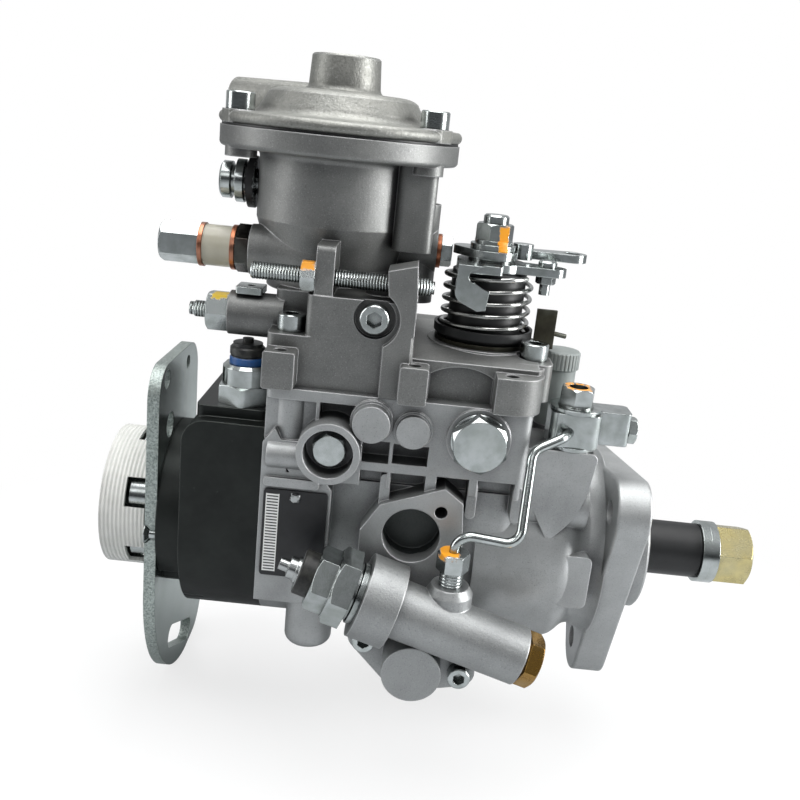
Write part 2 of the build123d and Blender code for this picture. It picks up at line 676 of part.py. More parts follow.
    # screw holes: four down to the housing, one into the face, blind ones in the lugs
    with Locations(*[(x, y, tower_z) for x, y in cover_screws_xy]):
        Cylinder(screw_r + seat, 90, mode=Mode.SUBTRACT)
    with Locations((-130.0, 26.0, pocket_floor_z), (-52.0, 26.0, pocket_floor_z - 5),
                   (near_screw_xy[0], near_screw_xy[1], cover_base_z + 1.0)):
        Cylinder(screw_head_r + 1.2, 30, align=(Align.CENTER, Align.CENTER, Align.MIN),
                 mode=Mode.SUBTRACT)
    with Locations(Plane(origin=(face_screw_xz[0], -cover_y, face_screw_xz[1]), z_dir=(0, -1, 0))):
        CounterBoreHole(screw_r + seat, screw_head_r + 2.2, 3.0, 9.0)
    with Locations((-136.2, -46.0, joint_z + 14.0), (-90.1, -46.0, joint_z + 13.2),
                   (-56.5, -45.5, joint_z + 12.8)):
        Cylinder(lug_hole_r, 2 * lug_hole_depth, mode=Mode.SUBTRACT)
    with Locations(Plane(origin=(-140.0, idle_y, idle_z), z_dir=(1, 0, 0))):
        Cylinder(idle_r + seat, 70, align=(Align.CENTER, Align.CENTER, Align.MIN), mode=Mode.SUBTRACT)
    with Locations((-boost_x, 0, boost_seam_z)):
        with PolarLocations(boost_screw_circle_r, boost_screw_count, start_angle=boost_screw_angle):
            Cylinder(screw_r + seat, 17, mode=Mode.SUBTRACT)

governor_cover.part.label = "governor_cover"
export_step(governor_cover.part, "parts/governor_cover.step")

# ---------------------------------------------------------------- boost capsule cover
stub_angle = 154.0
stub_end = 47.0
stub_r = 7.0
stub_z = 160.0
boost_screw_len = 12.0

diaphragm_t = 0.8
boost_top_z = boost_seam_z + diaphragm_t

with BuildPart() as boost_cover:
    with BuildSketch(Plane.XZ):
        with BuildLine():
            Polyline((-boost_x, boost_top_z), (-boost_x + boost_flange_r - 0.8, boost_top_z))
            ThreePointArc((-boost_x + boost_flange_r - 0.8, boost_top_z),
                          (-boost_x + boost_flange_r + 0.4, boost_top_z + 1.2),
                          (-boost_x + boost_flange_r - 1.0, boost_top_z + boost_rim_t))
            Line((-boost_x + boost_flange_r - 1.0, boost_top_z + boost_rim_t),
                 (-boost_x + dome_base_r, boost_top_z + boost_rim_t + 0.6))
            ThreePointArc((-boost_x + dome_base_r, boost_top_z + boost_rim_t + 0.6),
                          (-boost_x + dome_base_r - 1.8, boost_top_z + boost_rim_t + 1.5),
                          (-boost_x + dome_base_r - 3.2, boost_top_z + boost_rim_t + 3.4))
            Line((-boost_x + dome_base_r - 3.2, boost_top_z + boost_rim_t + 3.4),
                 (-boost_x + dome_top_r + 4.0, dome_top_z - 1.6))
            ThreePointArc((-boost_x + dome_top_r + 4.0, dome_top_z - 1.6),
                          (-boost_x + dome_top_r + 1.6, dome_top_z - 0.4),
                          (-boost_x + dome_top_r - 1.5, dome_top_z))
            Line((-boost_x + dome_top_r - 1.5, dome_top_z), (-boost_x + crown_r + 2.2, dome_top_z))
            ThreePointArc((-boost_x + crown_r + 2.2, dome_top_z), (-boost_x + crown_r + 0.7, dome_top_z + 0.7),
                          (-boost_x + crown_r, dome_top_z + 2.2))
            Polyline((-boost_x + crown_r, dome_top_z + 2.2), (-boost_x + crown_r - 0.6, crown_z - 0.6),
                     (-boost_x + crown_r - 1.2, crown_z), (-boost_x, crown_z), (-boost_x, boost_top_z))
        make_face()
    revolve(axis=Axis((-boost_x, 0, 0), (0, 0, 1)))
    # connection for the boost line, at the rear
    stub_plane = Plane(origin=(-boost_x, 0, stub_z), x_dir=(0, 0, 1),
                       z_dir=(cos(radians(stub_angle)), sin(radians(stub_angle)), 0))
    with BuildSketch(stub_plane):
        Circle(stub_r)
        with Locations((-stub_r / 2, 0)):
            Rectangle(stub_r, 2 * stub_r)
    extrude(amount=stub_end)
    # raised pads under the screws
    with Locations((-boost_x, 0, boost_top_z)):
        with PolarLocations(boost_screw_circle_r, boost_screw_count, start_angle=boost_screw_angle):
            Cylinder(6.4, boost_rim_t + 0.5, align=(Align.CENTER, Align.CENTER, Align.MIN))
    with BuildSketch(Plane.XY.offset(boost_top_z)):
        with Locations((-boost_x, 0)):
            Circle(boost_flange_r + 5)
            Circle(boost_flange_r + 0.6, mode=Mode.SUBTRACT)
    extrude(amount=boost_rim_t + 1, mode=Mode.SUBTRACT)
    # hollow above the diaphragm
    with BuildSketch(Plane.XZ):
        with BuildLine():
            Polyline((-boost_x, boost_top_z - 1), (-boost_x + bowl_r - bowl_wall, boost_top_z - 1),
                     (-boost_x + bowl_r - bowl_wall, boost_top_z + 4.0),
                     (-boost_x + dome_top_r - 2.0, dome_top_z - 4.0), (-boost_x + 8, dome_top_z - 4.0),
                     (-boost_x + 8, crown_z - 3.5), (-boost_x, crown_z - 3.5),
                     (-boost_x, boost_top_z - 1))
        make_face()
    revolve(axis=Axis((-boost_x, 0, 0), (0, 0, 1)), mode=Mode.SUBTRACT)
    with Locations(Plane(origin=(-boost_x + 15 * cos(radians(stub_angle)), 15 * sin(radians(stub_angle)), stub_z),
                         z_dir=stub_plane.z_dir)):
        Cylinder(4.0, stub_end, align=(Align.CENTER, Align.CENTER, Align.MIN), mode=Mode.SUBTRACT)
    with Locations((-boost_x, 0, boost_top_z)):
        with PolarLocations(boost_screw_circle_r, boost_screw_count, start_angle=boost_screw_angle):
            Cylinder(screw_r + seat, 14, mode=Mode.SUBTRACT)
    with Locations((-boost_x, 0, boost_top_z + boost_rim_t + 0.5)):
        with PolarLocations(boost_screw_circle_r, boost_screw_count, start_angle=boost_screw_angle):
            Cylinder(5.4, 7, align=(Align.CENTER, Align.CENTER, Align.MIN), mode=Mode.SUBTRACT)
boost_cover.part.label = "boost_cover"
export_step(boost_cover.part, "parts/boost_cover.step")


# ---------------------------------------------------------------- fasteners
def cap_screw(length):
    """M6 cap screw standing on z = 0 with its shank down, round socket in the head."""
    with BuildPart() as screw:
        Cylinder(screw_head_r, screw_head_h, align=(Align.CENTER, Align.CENTER, Align.MIN))
        chamfer(screw.faces().sort_by(Axis.Z)[-1].edges(), 0.4)
        Cylinder(screw_r, length, align=(Align.CENTER, Align.CENTER, Align.MAX))
        with BuildSketch(Plane.XY.offset(screw_head_h)):
            RegularPolygon(hex_key_r, 6)
        extrude(amount=-3.2, mode=Mode.SUBTRACT)
    return screw.part


def turned(points, plane):
    """Solid turned about the plane's normal from (radius, height) points."""
    with BuildPart() as body:
        with BuildSketch(Plane.XZ):
            with BuildLine():
                Polyline(*([(0, points[0][1])] + points + [(0, points[-1][1])]), close=True)
            make_face()
        revolve(axis=Axis.Z)
    return plane.location * body.part


def hexagon(across_flats, height, plane, bevel=0.5, bore=0.0):
    """Hexagon standing on the plane, its top corners turned off."""
    corner = hexagon_r(across_flats)
    with BuildPart() as body:
        with BuildSketch():
            RegularPolygon(corner, 6)
        extrude(amount=height)
        with BuildSketch(Plane.XZ):
            with BuildLine():
                Polyline((0, 0), (corner, 0), (corner, height - bevel), (across_flats / 2, height),
                         (0, height), (0, 0))
            make_face()
        revolve(axis=Axis.Z, mode=Mode.INTERSECT)
        if bore:
            Hole(bore, height)
    return plane.location * body.part


def as_group(label, *parts):
    """Loose pieces kept as separate solids under one name."""
    whole = Compound([solid for part in parts for solid in part.solids()])
    whole.label = label
    return whole


def facing(x, y, z, direction, turn=0.0):
    """Plane at a point, its normal along the direction, turned about it."""
    return Plane(Plane(origin=(x, y, z), z_dir=direction).location * Rotation(0, 0, turn))


with BuildPart() as cover_screws:
    for (x, y), z in zip(cover_screws_xy, (pocket_floor_z, cover_base_z + 1.0, pocket_floor_z,
                                            pocket_floor_z - 5)):
        add(Pos(x, y, z) * cap_screw(z - joint_z + hole_bottom))
    add(facing(face_screw_xz[0], -cover_y + 3.0, face_screw_xz[1], (0, -1, 0)).location * cap_screw(6.0))
cover_screws.part.label = "cover_screws"
export_step(cover_screws.part, "parts/cover_screws.step")

with BuildPart() as boost_screws:
    for n in range(boost_screw_count):
        angle = radians(boost_screw_angle + n * 360 / boost_screw_count)
        add(Pos(-boost_x + boost_screw_circle_r * cos(angle), boost_screw_circle_r * sin(angle),
                boost_top_z + boost_rim_t + 0.5) * cap_screw(boost_screw_len))
boost_screws.part.label = "boost_screws"
export_step(boost_screws.part, "parts/boost_screws.step")

# ---------------------------------------------------------------- name plate
with BuildPart() as name_plate:
    with BuildSketch(Plane.XZ.offset(pad_y)):
        with Locations(label_xz):
            RectangleRounded(label_w, label_h, 1.2)
        with Locations(*rivet_xz):
            Circle(rivet_r + seat, mode=Mode.SUBTRACT)
    extrude(amount=label_t)

with BuildPart() as plate_rivets:
    for x, z in rivet_xz:
        add(turned([(rivet_r, -5.0), (rivet_r, 0.0), (2.1, 0.0), (1.8, 0.7), (1.0, 1.1)],
                   facing(x, -pad_y - label_t, z, (0, -1, 0))))
export_step(as_group("name_plate", name_plate.part, plate_rivets.part),
            "parts/name_plate.step")

# ---------------------------------------------------------------- distributor head
with BuildPart() as distributor_head:
    with BuildSketch(Plane.YZ.offset(head_rear)):
        Circle(head_r)
        with Locations((0, head_top_z / 2)):
            Rectangle(2 * head_r, head_top_z)
    extrude(amount=head_t)
    fillet(distributor_head.edges().filter_by(Axis.Y).filter_by(lambda e: e.center().Z > head_top_z - 1)
           .sort_by(Axis.X)[0], 8.5)
    # raised seat of the shut-off valve
    with BuildSketch(Plane.XY.offset(head_top_z - 6)):
        with Locations((-body_len - head_t / 2 + 1.5, 1.0)):
            RectangleRounded(head_t - 4.0, 2 * head_r - 10.0, 3.0)
    extrude(amount=head_step_z - head_top_z + 6)
    # round seat for the bracket and the valve holders, skirt into the housing
    with BuildSketch(Plane.YZ.offset(spigot_face)):
        Circle(spigot_r)
    extrude(amount=spigot_t)
    with BuildSketch(Plane.YZ.offset(-body_len)):
        Circle(spring_bore_r - seat)
        Circle(spring_bore_r - 3.6, mode=Mode.SUBTRACT)
    extrude(amount=head_skirt)
    with BuildSketch(Plane.YZ.offset(barrel_front + 3)):
        Circle(barrel_sleeve_r + 4.0)
    extrude(until=Until.NEXT, dir=(-1, 0, 0))
    # bore of the barrel
    with Locations(Plane(origin=(spigot_face - 1, 0, 0), z_dir=(1, 0, 0))):
        Cylinder(barrel_sleeve_r, 60, align=(Align.CENTER, Align.CENTER, Align.MIN), mode=Mode.SUBTRACT)
    # seats of the valve holders
    with BuildSketch(Plane.YZ.offset(spigot_face)):
        with PolarLocations(outlet_circle_r, outlet_count, start_angle=outlet_angle):
            Circle(holder_screw_r)
    extrude(amount=holder_screw_len, mode=Mode.SUBTRACT)
    with BuildSketch(Plane.YZ.offset(spigot_face)):
        with PolarLocations(outlet_circle_r, outlet_count, start_angle=outlet_angle):
            Circle(2.6)
    extrude(amount=holder_screw_len + 9.0, mode=Mode.SUBTRACT)
    # shut-off valve bore
    with Locations((solenoid_x, solenoid_y, head_step_z + 1)):
        Cylinder(solenoid_bore_r, 12, align=(Align.CENTER, Align.CENTER, Align.MAX), mode=Mode.SUBTRACT)
        Cylinder(shutoff_r + gap, head_step_z - shutoff_bottom + 1,
                 align=(Align.CENTER, Align.CENTER, Align.MAX), mode=Mode.SUBTRACT)
    # sunk holes of the four head screws, tapped holes for the bracket
    with Locations(Plane.YZ.offset(head_rear)):
        with Locations(*head_screw_yz):
            Cylinder(head_screw_r + seat, 2 * head_t + 10, mode=Mode.SUBTRACT)
    with Locations(Plane.YZ.offset(head_rear - spigot_t - 1)):
        with Locations(*head_screw_yz):
            Cylinder(head_screw_head_r + 0.4, spigot_t + screw_pocket + 1,
                     align=(Align.CENTER, Align.CENTER, Align.MIN), mode=Mode.SUBTRACT)
    with BuildSketch(Plane.YZ.offset(spigot_face)):
        with PolarLocations(bracket_screw_circle_r, bracket_screw_count, start_angle=bracket_screw_angle):
            Circle(bracket_screw_r)
    extrude(amount=10.0, mode=Mode.SUBTRACT)
distributor_head.part.label = "distributor_head"
export_step(distributor_head.part, "parts/distributor_head.step")


def small_screw(length):
    """M5 cap screw standing on z = 0 with its shank down."""
    with BuildPart() as screw:
        Cylinder(head_screw_head_r, head_screw_head_h, align=(Align.CENTER, Align.CENTER, Align.MIN))
        chamfer(screw.faces().sort_by(Axis.Z)[-1].edges(), 0.4)
        Cylinder(head_screw_r, length, align=(Align.CENTER, Align.CENTER, Align.MAX))
        with BuildSketch(Plane.XY.offset(head_screw_head_h)):
            RegularPolygon(2.4, 6)
        extrude(amount=-2.8, mode=Mode.SUBTRACT)
    return screw.part


with BuildPart() as head_screws:
    for y, z in head_screw_yz:
        add(facing(head_rear + screw_pocket, y, z, (-1, 0, 0)).location
            * small_screw(head_t - screw_pocket + head_screw_depth))

# ---------------------------------------------------------------- distributor barrel
plug_t = 6.0
with BuildPart() as barrel:
    with BuildSketch(Plane.YZ.offset(spigot_face)):
        Circle(barrel_sleeve_r)
        Circle(plunger_r + fit, mode=Mode.SUBTRACT)
    extrude(amount=barrel_front - spigot_face)
    with BuildSketch(Plane.YZ.offset(spigot_face + 18)):
        with PolarLocations(barrel_sleeve_r, outlet_count, start_angle=outlet_angle):
            Circle(1.2)
    extrude(amount=3, mode=Mode.SUBTRACT)
    # hexagon plug that closes the end of the plunger bore
    add(hexagon(14.0, 5.0, facing(spigot_face, 0, 0, (-1, 0, 0)), 0.8))
    add(turned([(plunger_r + fit, -plug_t), (plunger_r + fit, 0.0)], facing(spigot_face, 0, 0, (-1, 0, 0))))
barrel.part.label = "barrel"
export_step(barrel.part, "parts/barrel.step")

# ---------------------------------------------------------------- delivery valve holders
holder_body = 13.8
holder_thread = 8.0
with BuildPart() as holder:
    add(turned([(holder_screw_r - 0.02, 1.0 - holder_screw_len), (holder_screw_r - 0.02, 0.0),
                (holder_r, 0.0), (holder_r, 4.0), (holder_r - 0.6, 4.6), (holder_r - 0.6, 5.4),
                (holder_r, 6.0), (holder_r, holder_body - 1.2), (holder_r - 1.2, holder_body),
                (holder_thread_r, holder_body + 0.6), (holder_thread_r, holder_body + holder_thread - 0.8),
                (holder_thread_r - 0.8, holder_body + holder_thread)], Plane.XY))
    with Locations((0, 0, holder_body + holder_thread)):
        Cone(1.4, 3.6, 5.0, align=(Align.CENTER, Align.CENTER, Align.MAX), mode=Mode.SUBTRACT)
    Cylinder(1.4, 60, mode=Mode.SUBTRACT)
    with Locations((0, 0, 4.0)):
        Cylinder(3.2, holder_screw_len + 8, align=(Align.CENTER, Align.CENTER, Align.MAX),
                 mode=Mode.SUBTRACT)

with BuildPart() as valve_holders:
    for n in range(outlet_count):
        angle = radians(outlet_angle + n * 360 / outlet_count)
        place = facing(spigot_face, outlet_circle_r * cos(angle), outlet_circle_r * sin(angle), (-1, 0, 0))
        add(place.location * holder.part)

with BuildPart() as delivery_valves:
    for n in range(outlet_count):
        angle = radians(outlet_angle + n * 360 / outlet_count)
        place = facing(spigot_face, outlet_circle_r * cos(angle), outlet_circle_r * sin(angle), (-1, 0, 0))
        add(turned([(3.2 - seat, 1.2 - holder_screw_len), (3.2 - seat, -3.0), (1.6, -2.2), (1.6, 1.0), (0.8, 2.0)],
                   place))
export_step(as_group("valve_holders", valve_holders.part, delivery_valves.part),
            "parts/valve_holders.step")

# ---------------------------------------------------------------- rear bracket
bracket_x = spigot_face
arm_tilt = -25.0
slot_len = 43.0
slot_w = 10.0
slot_yz = (11.5, -70.0)
scallop_r = 9.2
with BuildPart() as rear_bracket:
    with BuildSketch(Plane.YZ.offset(bracket_x - bracket_t)):
        with BuildLine():
            Polyline((-31.0, -30.0), (-31.0, 50.0))
            ThreePointArc((-31.0, 50.0), (-27.5, 58.5), (-19.0, 62.0))
            Line((-19.0, 62.0), (15.0, 62.0))
            ThreePointArc((15.0, 62.0), (23.8, 58.3), (27.5, 49.5))
            Line((27.5, 49.5), (29.0, 0.0))
            ThreePointArc((29.0, 0.0), (33.0, -26.0), (47.0, -52.0))
            ThreePointArc((47.0, -52.0), (52.0, -70.0), (38.0, -83.5))
            Line((38.0, -83.5), (22.0, -84.5))
            ThreePointArc((22.0, -84.5), (-17.0, -66.0), (-31.0, -30.0))
        make_face()
        with PolarLocations(outlet_circle_r, outlet_count, start_angle=outlet_angle):
            Circle(scallop_r, mode=Mode.SUBTRACT)
        Circle(outlet_circle_r - 2, mode=Mode.SUBTRACT)
        with Locations((-20.6, 56.2)):
            Circle(3.6, mode=Mode.SUBTRACT)
        with Locations((-15.0, 36.5)):
            Circle(5.0, mode=Mode.SUBTRACT)
        with Locations((10.5, 55.2)):
            Circle(2.7, mode=Mode.SUBTRACT)
        with Locations(slot_yz):
            SlotOverall(slot_len, slot_w, rotation=arm_tilt, mode=Mode.SUBTRACT)
    extrude(amount=bracket_t)
    with Locations(Plane(origin=(bracket_x - bracket_t, 0, 0), x_dir=(0, 1, 0), z_dir=(-1, 0, 0))):
        with PolarLocations(bracket_screw_circle_r, bracket_screw_count, start_angle=-bracket_screw_angle):
            CounterSinkHole(bracket_screw_r + seat, 4.65, bracket_t)
rear_bracket.part.label = "rear_bracket"
export_step(rear_bracket.part, "parts/rear_bracket.step")

with BuildPart() as bracket_screws:
    for n in range(bracket_screw_count):
        angle = radians(bracket_screw_angle + n * 360 / bracket_screw_count)
        add(turned([(bracket_screw_r - 0.02, -bracket_t - 9.0), (bracket_screw_r - 0.02, -1.9), (4.2, -0.3),
                    (4.2, 0.0)], facing(bracket_x - bracket_t, bracket_screw_circle_r * cos(angle),
                                        bracket_screw_circle_r * sin(angle), (-1, 0, 0))))
export_step(as_group("head_screws", head_screws.part, bracket_screws.part),
            "parts/head_screws.step")

# ---------------------------------------------------------------- outlet cap
holder_end = spigot_face - holder_body - holder_thread
cap_front = bracket_x - bracket_t - 1.3
cap_end_t = 1.5
notch_w = 11.4
notch_len = 8.0
with BuildPart() as outlet_cap:
    with BuildSketch(Plane.YZ.offset(holder_end - cap_end_t)):
        Circle(cap_r)
    extrude(amount=cap_front - holder_end + cap_end_t)
    with BuildSketch(Plane.YZ.offset(holder_end)):
        Circle(cap_r - cap_wall)
    extrude(amount=60, mode=Mode.SUBTRACT)
    for n in range(outlet_count):
        angle = outlet_angle + n * 360 / outlet_count
        with Locations(Plane(origin=(cap_front, cap_r * cos(radians(angle)), cap_r * sin(radians(angle))),
                             z_dir=(0, cos(radians(angle)), sin(radians(angle))), x_dir=(1, 0, 0))):
            Box(2 * notch_len, notch_w, 8, mode=Mode.SUBTRACT)
    # raised ring in the end
    with BuildSketch(Plane.YZ.offset(holder_end - cap_end_t)):
        Circle(cap_r - 4.0)
        Circle(cap_r - 6.0, mode=Mode.SUBTRACT)
    extrude(amount=-1.0)
outlet_cap.part.label = "outlet_cap"
export_step(outlet_cap.part, "parts/outlet_cap.step")

# ---------------------------------------------------------------- shut-off valve on the head
solenoid_hex_h = 7.2
solenoid_top = head_step_z + solenoid_hex_h + 7.6
with BuildPart() as solenoid_body:
    add(hexagon(18.0, solenoid_hex_h, facing(solenoid_x, solenoid_y, head_step_z, (0, 0, 1), 30.0), 0.7))
    add(turned([(solenoid_bore_r - 0.02, -10.0), (solenoid_bore_r - 0.02, 0.0)],
               facing(solenoid_x, solenoid_y, head_step_z, (0, 0, 1))))
    add(turned([(8.7, solenoid_hex_h), (8.7, solenoid_hex_h + 6.4), (7.6, solenoid_hex_h + 7.6)],
               facing(solenoid_x, solenoid_y, head_step_z, (0, 0, 1))))
    with Locations((solenoid_x, solenoid_y, head_step_z + 6)):
        Cylinder(shutoff_r + fit, 30, align=(Align.CENTER, Align.CENTER, Align.MAX), mode=Mode.SUBTRACT)
solenoid_body.part.label = "solenoid_body"
export_step(solenoid_body.part, "parts/solenoid_body.step")

with BuildPart() as solenoid_insulator:
    add(turned([(6.4, 0.0), (6.4, 2.2), (5.9, 2.8), (6.4, 3.4), (6.4, 5.8), (5.8, 6.4)],
               facing(solenoid_x, solenoid_y, solenoid_top, (0, 0, 1))))

with BuildPart() as solenoid_terminal:
    add(turned([(5.4, 0.0), (5.4, 1.2), (2.0, 1.3), (2.0, 2.8)],
               facing(solenoid_x, solenoid_y, solenoid_top + 6.4, (0, 0, 1))))
export_step(as_group("solenoid_terminal", solenoid_insulator.part, solenoid_terminal.part),
            "parts/solenoid_terminal.step")

shutoff_travel = 2.5
with BuildPart() as shutoff_plunger:
    add(turned([(2.0, 0.0), (shutoff_r, 2.6), (shutoff_r, 34.0)],
               facing(solenoid_x, solenoid_y, shutoff_bottom + 1.0, (0, 0, 1))))
shutoff_plunger.part.label = "shutoff_plunger"
export_step(shutoff_plunger.part, "parts/shutoff_plunger.step")

# ---------------------------------------------------------------- fuel return on the cover
washer_h = 1.6
return_nut_t = 5.2
sleeve_t = 10.2
bolt_head_t = 14.4
return_shank_r = 3.9
step_nut = return_seat_x
step_washer = step_nut - return_nut_t
step_sleeve = step_washer - washer_h
step_outer = step_sleeve - sleeve_t
step_head = step_outer - washer_h


def along(x):
    """Plane on the return fitting's axis, facing away from the pump."""
    return facing(x, return_y, return_z, (-1, 0, 0))


with BuildPart() as return_nut:
    add(hexagon(15.4, return_nut_t, along(step_nut), 0.5, return_shank_r + seat))
return_nut.part.label = "return_nut"
export_step(return_nut.part, "parts/return_nut.step")

with BuildPart() as return_sleeve:
    add(turned([(7.5, 0.0), (7.5, sleeve_t)], along(step_sleeve)))
    with Locations(along(step_sleeve)):
        Hole(return_shank_r + seat, 30)
return_sleeve.part.label = "return_sleeve"
export_step(return_sleeve.part, "parts/return_sleeve.step")

with BuildPart() as return_bolt:
    add(hexagon(13.0, bolt_head_t, along(step_head), 1.0))
    add(turned([(return_shank_r, step_head - step_nut - 12.0), (return_shank_r, 0.0)], along(step_head)))
    with Locations(along(step_head + 26)):
        Cylinder(1.6, 44, mode=Mode.SUBTRACT)
return_bolt.part.label = "return_bolt"
export_step(return_bolt.part, "parts/return_bolt.step")

# ---------------------------------------------------------------- adjusting screws
with BuildPart() as full_load_screw:
    add(hexagon(13.0, 8.0, facing(full_seat_x, full_y, full_z, (-1, 0, 0), 30.0), 0.8, 3.0))
    add(turned([(2.98, -16.0), (2.98, 12.6), (2.4, 13.2), (2.4, 14.6)],
               facing(full_seat_x, full_y, full_z, (-1, 0, 0))))

idle_end = -86.2
idle_start = -149.0
idle_nut_t = 5.0
with BuildPart() as idle_screw:
    turn = facing(idle_start, idle_y, idle_z, (1, 0, 0))
    add(turned([(idle_r - 0.5, 0.0), (idle_r - 0.02, 0.6), (idle_r - 0.02, idle_end - idle_start - 1.4),
                (idle_r - 0.8, idle_end - idle_start - 0.8), (idle_r - 0.8, idle_end - idle_start)], turn))
    for n in range(21):
        with Locations(Plane(origin=(idle_start + 1.6 + n, idle_y, idle_z), z_dir=(1, 0, 0))):
            Torus(idle_r + 0.12, 0.3, mode=Mode.SUBTRACT)
    add(hexagon(10.0, idle_nut_t, facing(idle_lug_x - 3.2, idle_y, idle_z, (-1, 0, 0), 30.0), 0.6))

with BuildPart() as seal_tab:
    with BuildSketch(Plane.XY.offset(full_z + 8.0)):
        with Locations((full_seat_x + 7.2, full_y)):
            RectangleRounded(9.6, 11.0, 1.0)
            Circle(1.5, mode=Mode.SUBTRACT)
    extrude(amount=2.4)
export_step(as_group("adjusting_screws", full_load_screw.part, idle_screw.part, seal_tab.part),
            "parts/adjusting_screws.step")

# ---------------------------------------------------------------- plugs in the cover and the housing
with BuildPart() as vent_plug:
    add(turned([(4.9, -4.0), (4.9, 0.6), (9.2, 0.6), (9.5, 1.0), (9.5, 3.4), (7.0, 3.6), (7.0, 4.6), (7.9, 5.0),
                (7.9, 8.0), (5.6, 8.4), (5.6, 9.6), (6.8, 10.0), (6.8, 13.2), (5.8, 14.0)],
               facing(-boost_x - bowl_r, 0, vent_z, (-1, 0, 0))))

with BuildPart() as side_plug:
    add(hexagon(10.0, 4.2, facing(side_plug_x + washer_h, side_plug_y, side_plug_z, (1, 0, 0)), 0.6))
    add(turned([(3.95, -10.0), (3.95, washer_h)], facing(side_plug_x, side_plug_y, side_plug_z, (1, 0, 0))))

with BuildPart() as face_plugs:
    # hexagon plug on the ribbed band
    at_plug = facing(plug_xz[0], -band_y - 1.2, plug_xz[1], (0, -1, 0), 8.0)
    add(turned([(9.9, 0.0), (9.9, 1.2), (9.4, 1.6)], at_plug))
    add(hexagon(plug_af - 1.0, 5.6, facing(plug_xz[0], -band_y - 2.8, plug_xz[1], (0, -1, 0), 8.0), 1.4))
    # bolt down in the cup boss
    add(hexagon(11.0, 6.4, facing(cup_xz[0], -cup_face_y + cup_depth, cup_xz[1], (0, -1, 0), 12.0), 0.8))
face_plugs.part.label = "face_plugs"
export_step(face_plugs.part, "parts/face_plugs.step")

# ---------------------------------------------------------------- fuel inlet
inlet_washer_r = 9.4
pipe_r = 1.75
pipe_angle = 252.0
pipe_entry = 6.2
pipe_end_z = 56.4
inlet_gasket_t = 1.4
banjo_bottom = inlet_seat_z + inlet_gasket_t
banjo_top = banjo_bottom + inlet_body_h
inlet_bolt_z = banjo_top + inlet_gasket_t
inlet_head_h = 7.0
with BuildPart() as inlet_banjo:
    with BuildSketch(Plane.XY.offset(banjo_bottom)):
        with Locations((-inlet_x, inlet_y)):
            RectangleRounded(inlet_body_w, inlet_body_w - 1.4, 4.0)
    extrude(amount=inlet_body_h)
    # second connection on its far right, closed with a plug
    with BuildSketch(Plane.XY.offset(banjo_bottom)):
        with Locations((-inlet_x + 14.0, inlet_y + 5.0)):
            RectangleRounded(14.0, 12.0, 2.0)
    extrude(amount=inlet_body_h)
    with Locations((-inlet_x, inlet_y, banjo_bottom - 2)):
        Cylinder(inlet_bolt_r + 0.6, inlet_body_h + 6, align=(Align.CENTER, Align.CENTER, Align.MIN),
                 mode=Mode.SUBTRACT)
    with Locations(Plane(origin=(-inlet_x + 7, inlet_y + 5.0, banjo_bottom + 5.0), z_dir=(1, 0, 0))):
        Cylinder(3.0, 20, align=(Align.CENTER, Align.CENTER, Align.MIN), mode=Mode.SUBTRACT)
    # socket of the brazed pipe
    with Locations(Plane(origin=(-inlet_x + pipe_entry * cos(radians(pipe_angle)),
                                 inlet_y + pipe_entry * sin(radians(pipe_angle)), pipe_end_z),
                         z_dir=(cos(radians(pipe_angle)), sin(radians(pipe_angle)), 0))):
        Cylinder(pipe_r + 0.02, 20, align=(Align.CENTER, Align.CENTER, Align.MIN), mode=Mode.SUBTRACT)
inlet_banjo.part.label = "inlet_banjo"
export_step(inlet_banjo.part, "parts/inlet_banjo.step")

with BuildPart() as inlet_bolt:
    at_bolt = facing(-inlet_x, inlet_y, inlet_bolt_z, (0, 0, 1))
    add(turned([(inlet_bolt_r - 1.0, -inlet_body_h - 14.0), (inlet_bolt_r - 1.0, -inlet_body_h - 2.8),
                (inlet_bolt_r, -inlet_body_h - 2.8), (inlet_bolt_r, 0.0), (6.4, 0.0), (6.4, 0.6)], at_bolt))
    add(hexagon(11.4, inlet_head_h, facing(-inlet_x, inlet_y, inlet_bolt_z, (0, 0, 1), 15.0), 0.9))
    with Locations((-inlet_x, inlet_y, inlet_bolt_z + inlet_head_h)):
        Cylinder(3.5, 4.6, align=(Align.CENTER, Align.CENTER, Align.MAX), mode=Mode.SUBTRACT)
    with Locations((-inlet_x, inlet_y, inlet_bolt_z - inlet_body_h / 2)):
        Cylinder(2.2, 60, align=(Align.CENTER, Align.CENTER, Align.MAX), mode=Mode.SUBTRACT)

with BuildPart() as inlet_washers:
    for z in (inlet_seat_z, banjo_top):
        with Locations((-inlet_x, inlet_y, z)):
            Cylinder(inlet_washer_r, inlet_gasket_t, align=(Align.CENTER, Align.CENTER, Align.MIN))
            Cylinder(inlet_bolt_r + 0.3, inlet_gasket_t, align=(Align.CENTER, Align.CENTER, Align.MIN),
                     mode=Mode.SUBTRACT)
export_step(as_group("inlet_bolt", inlet_bolt.part, inlet_washers.part),
            "parts/inlet_bolt.step")

with BuildPart() as inlet_plug:
    at_end = facing(-inlet_x + 21.0, inlet_y + 5.0, banjo_bottom + 5.0, (1, 0, 0), 30.0)
    add(hexagon(9.0, 3.2, at_end, 0.5))
    add(turned([(2.95, -8.0), (2.95, 0.0)], at_end))
export_step(as_group("port_plugs", vent_plug.part, side_plug.part, inlet_plug.part),
            "parts/port_plugs.step")

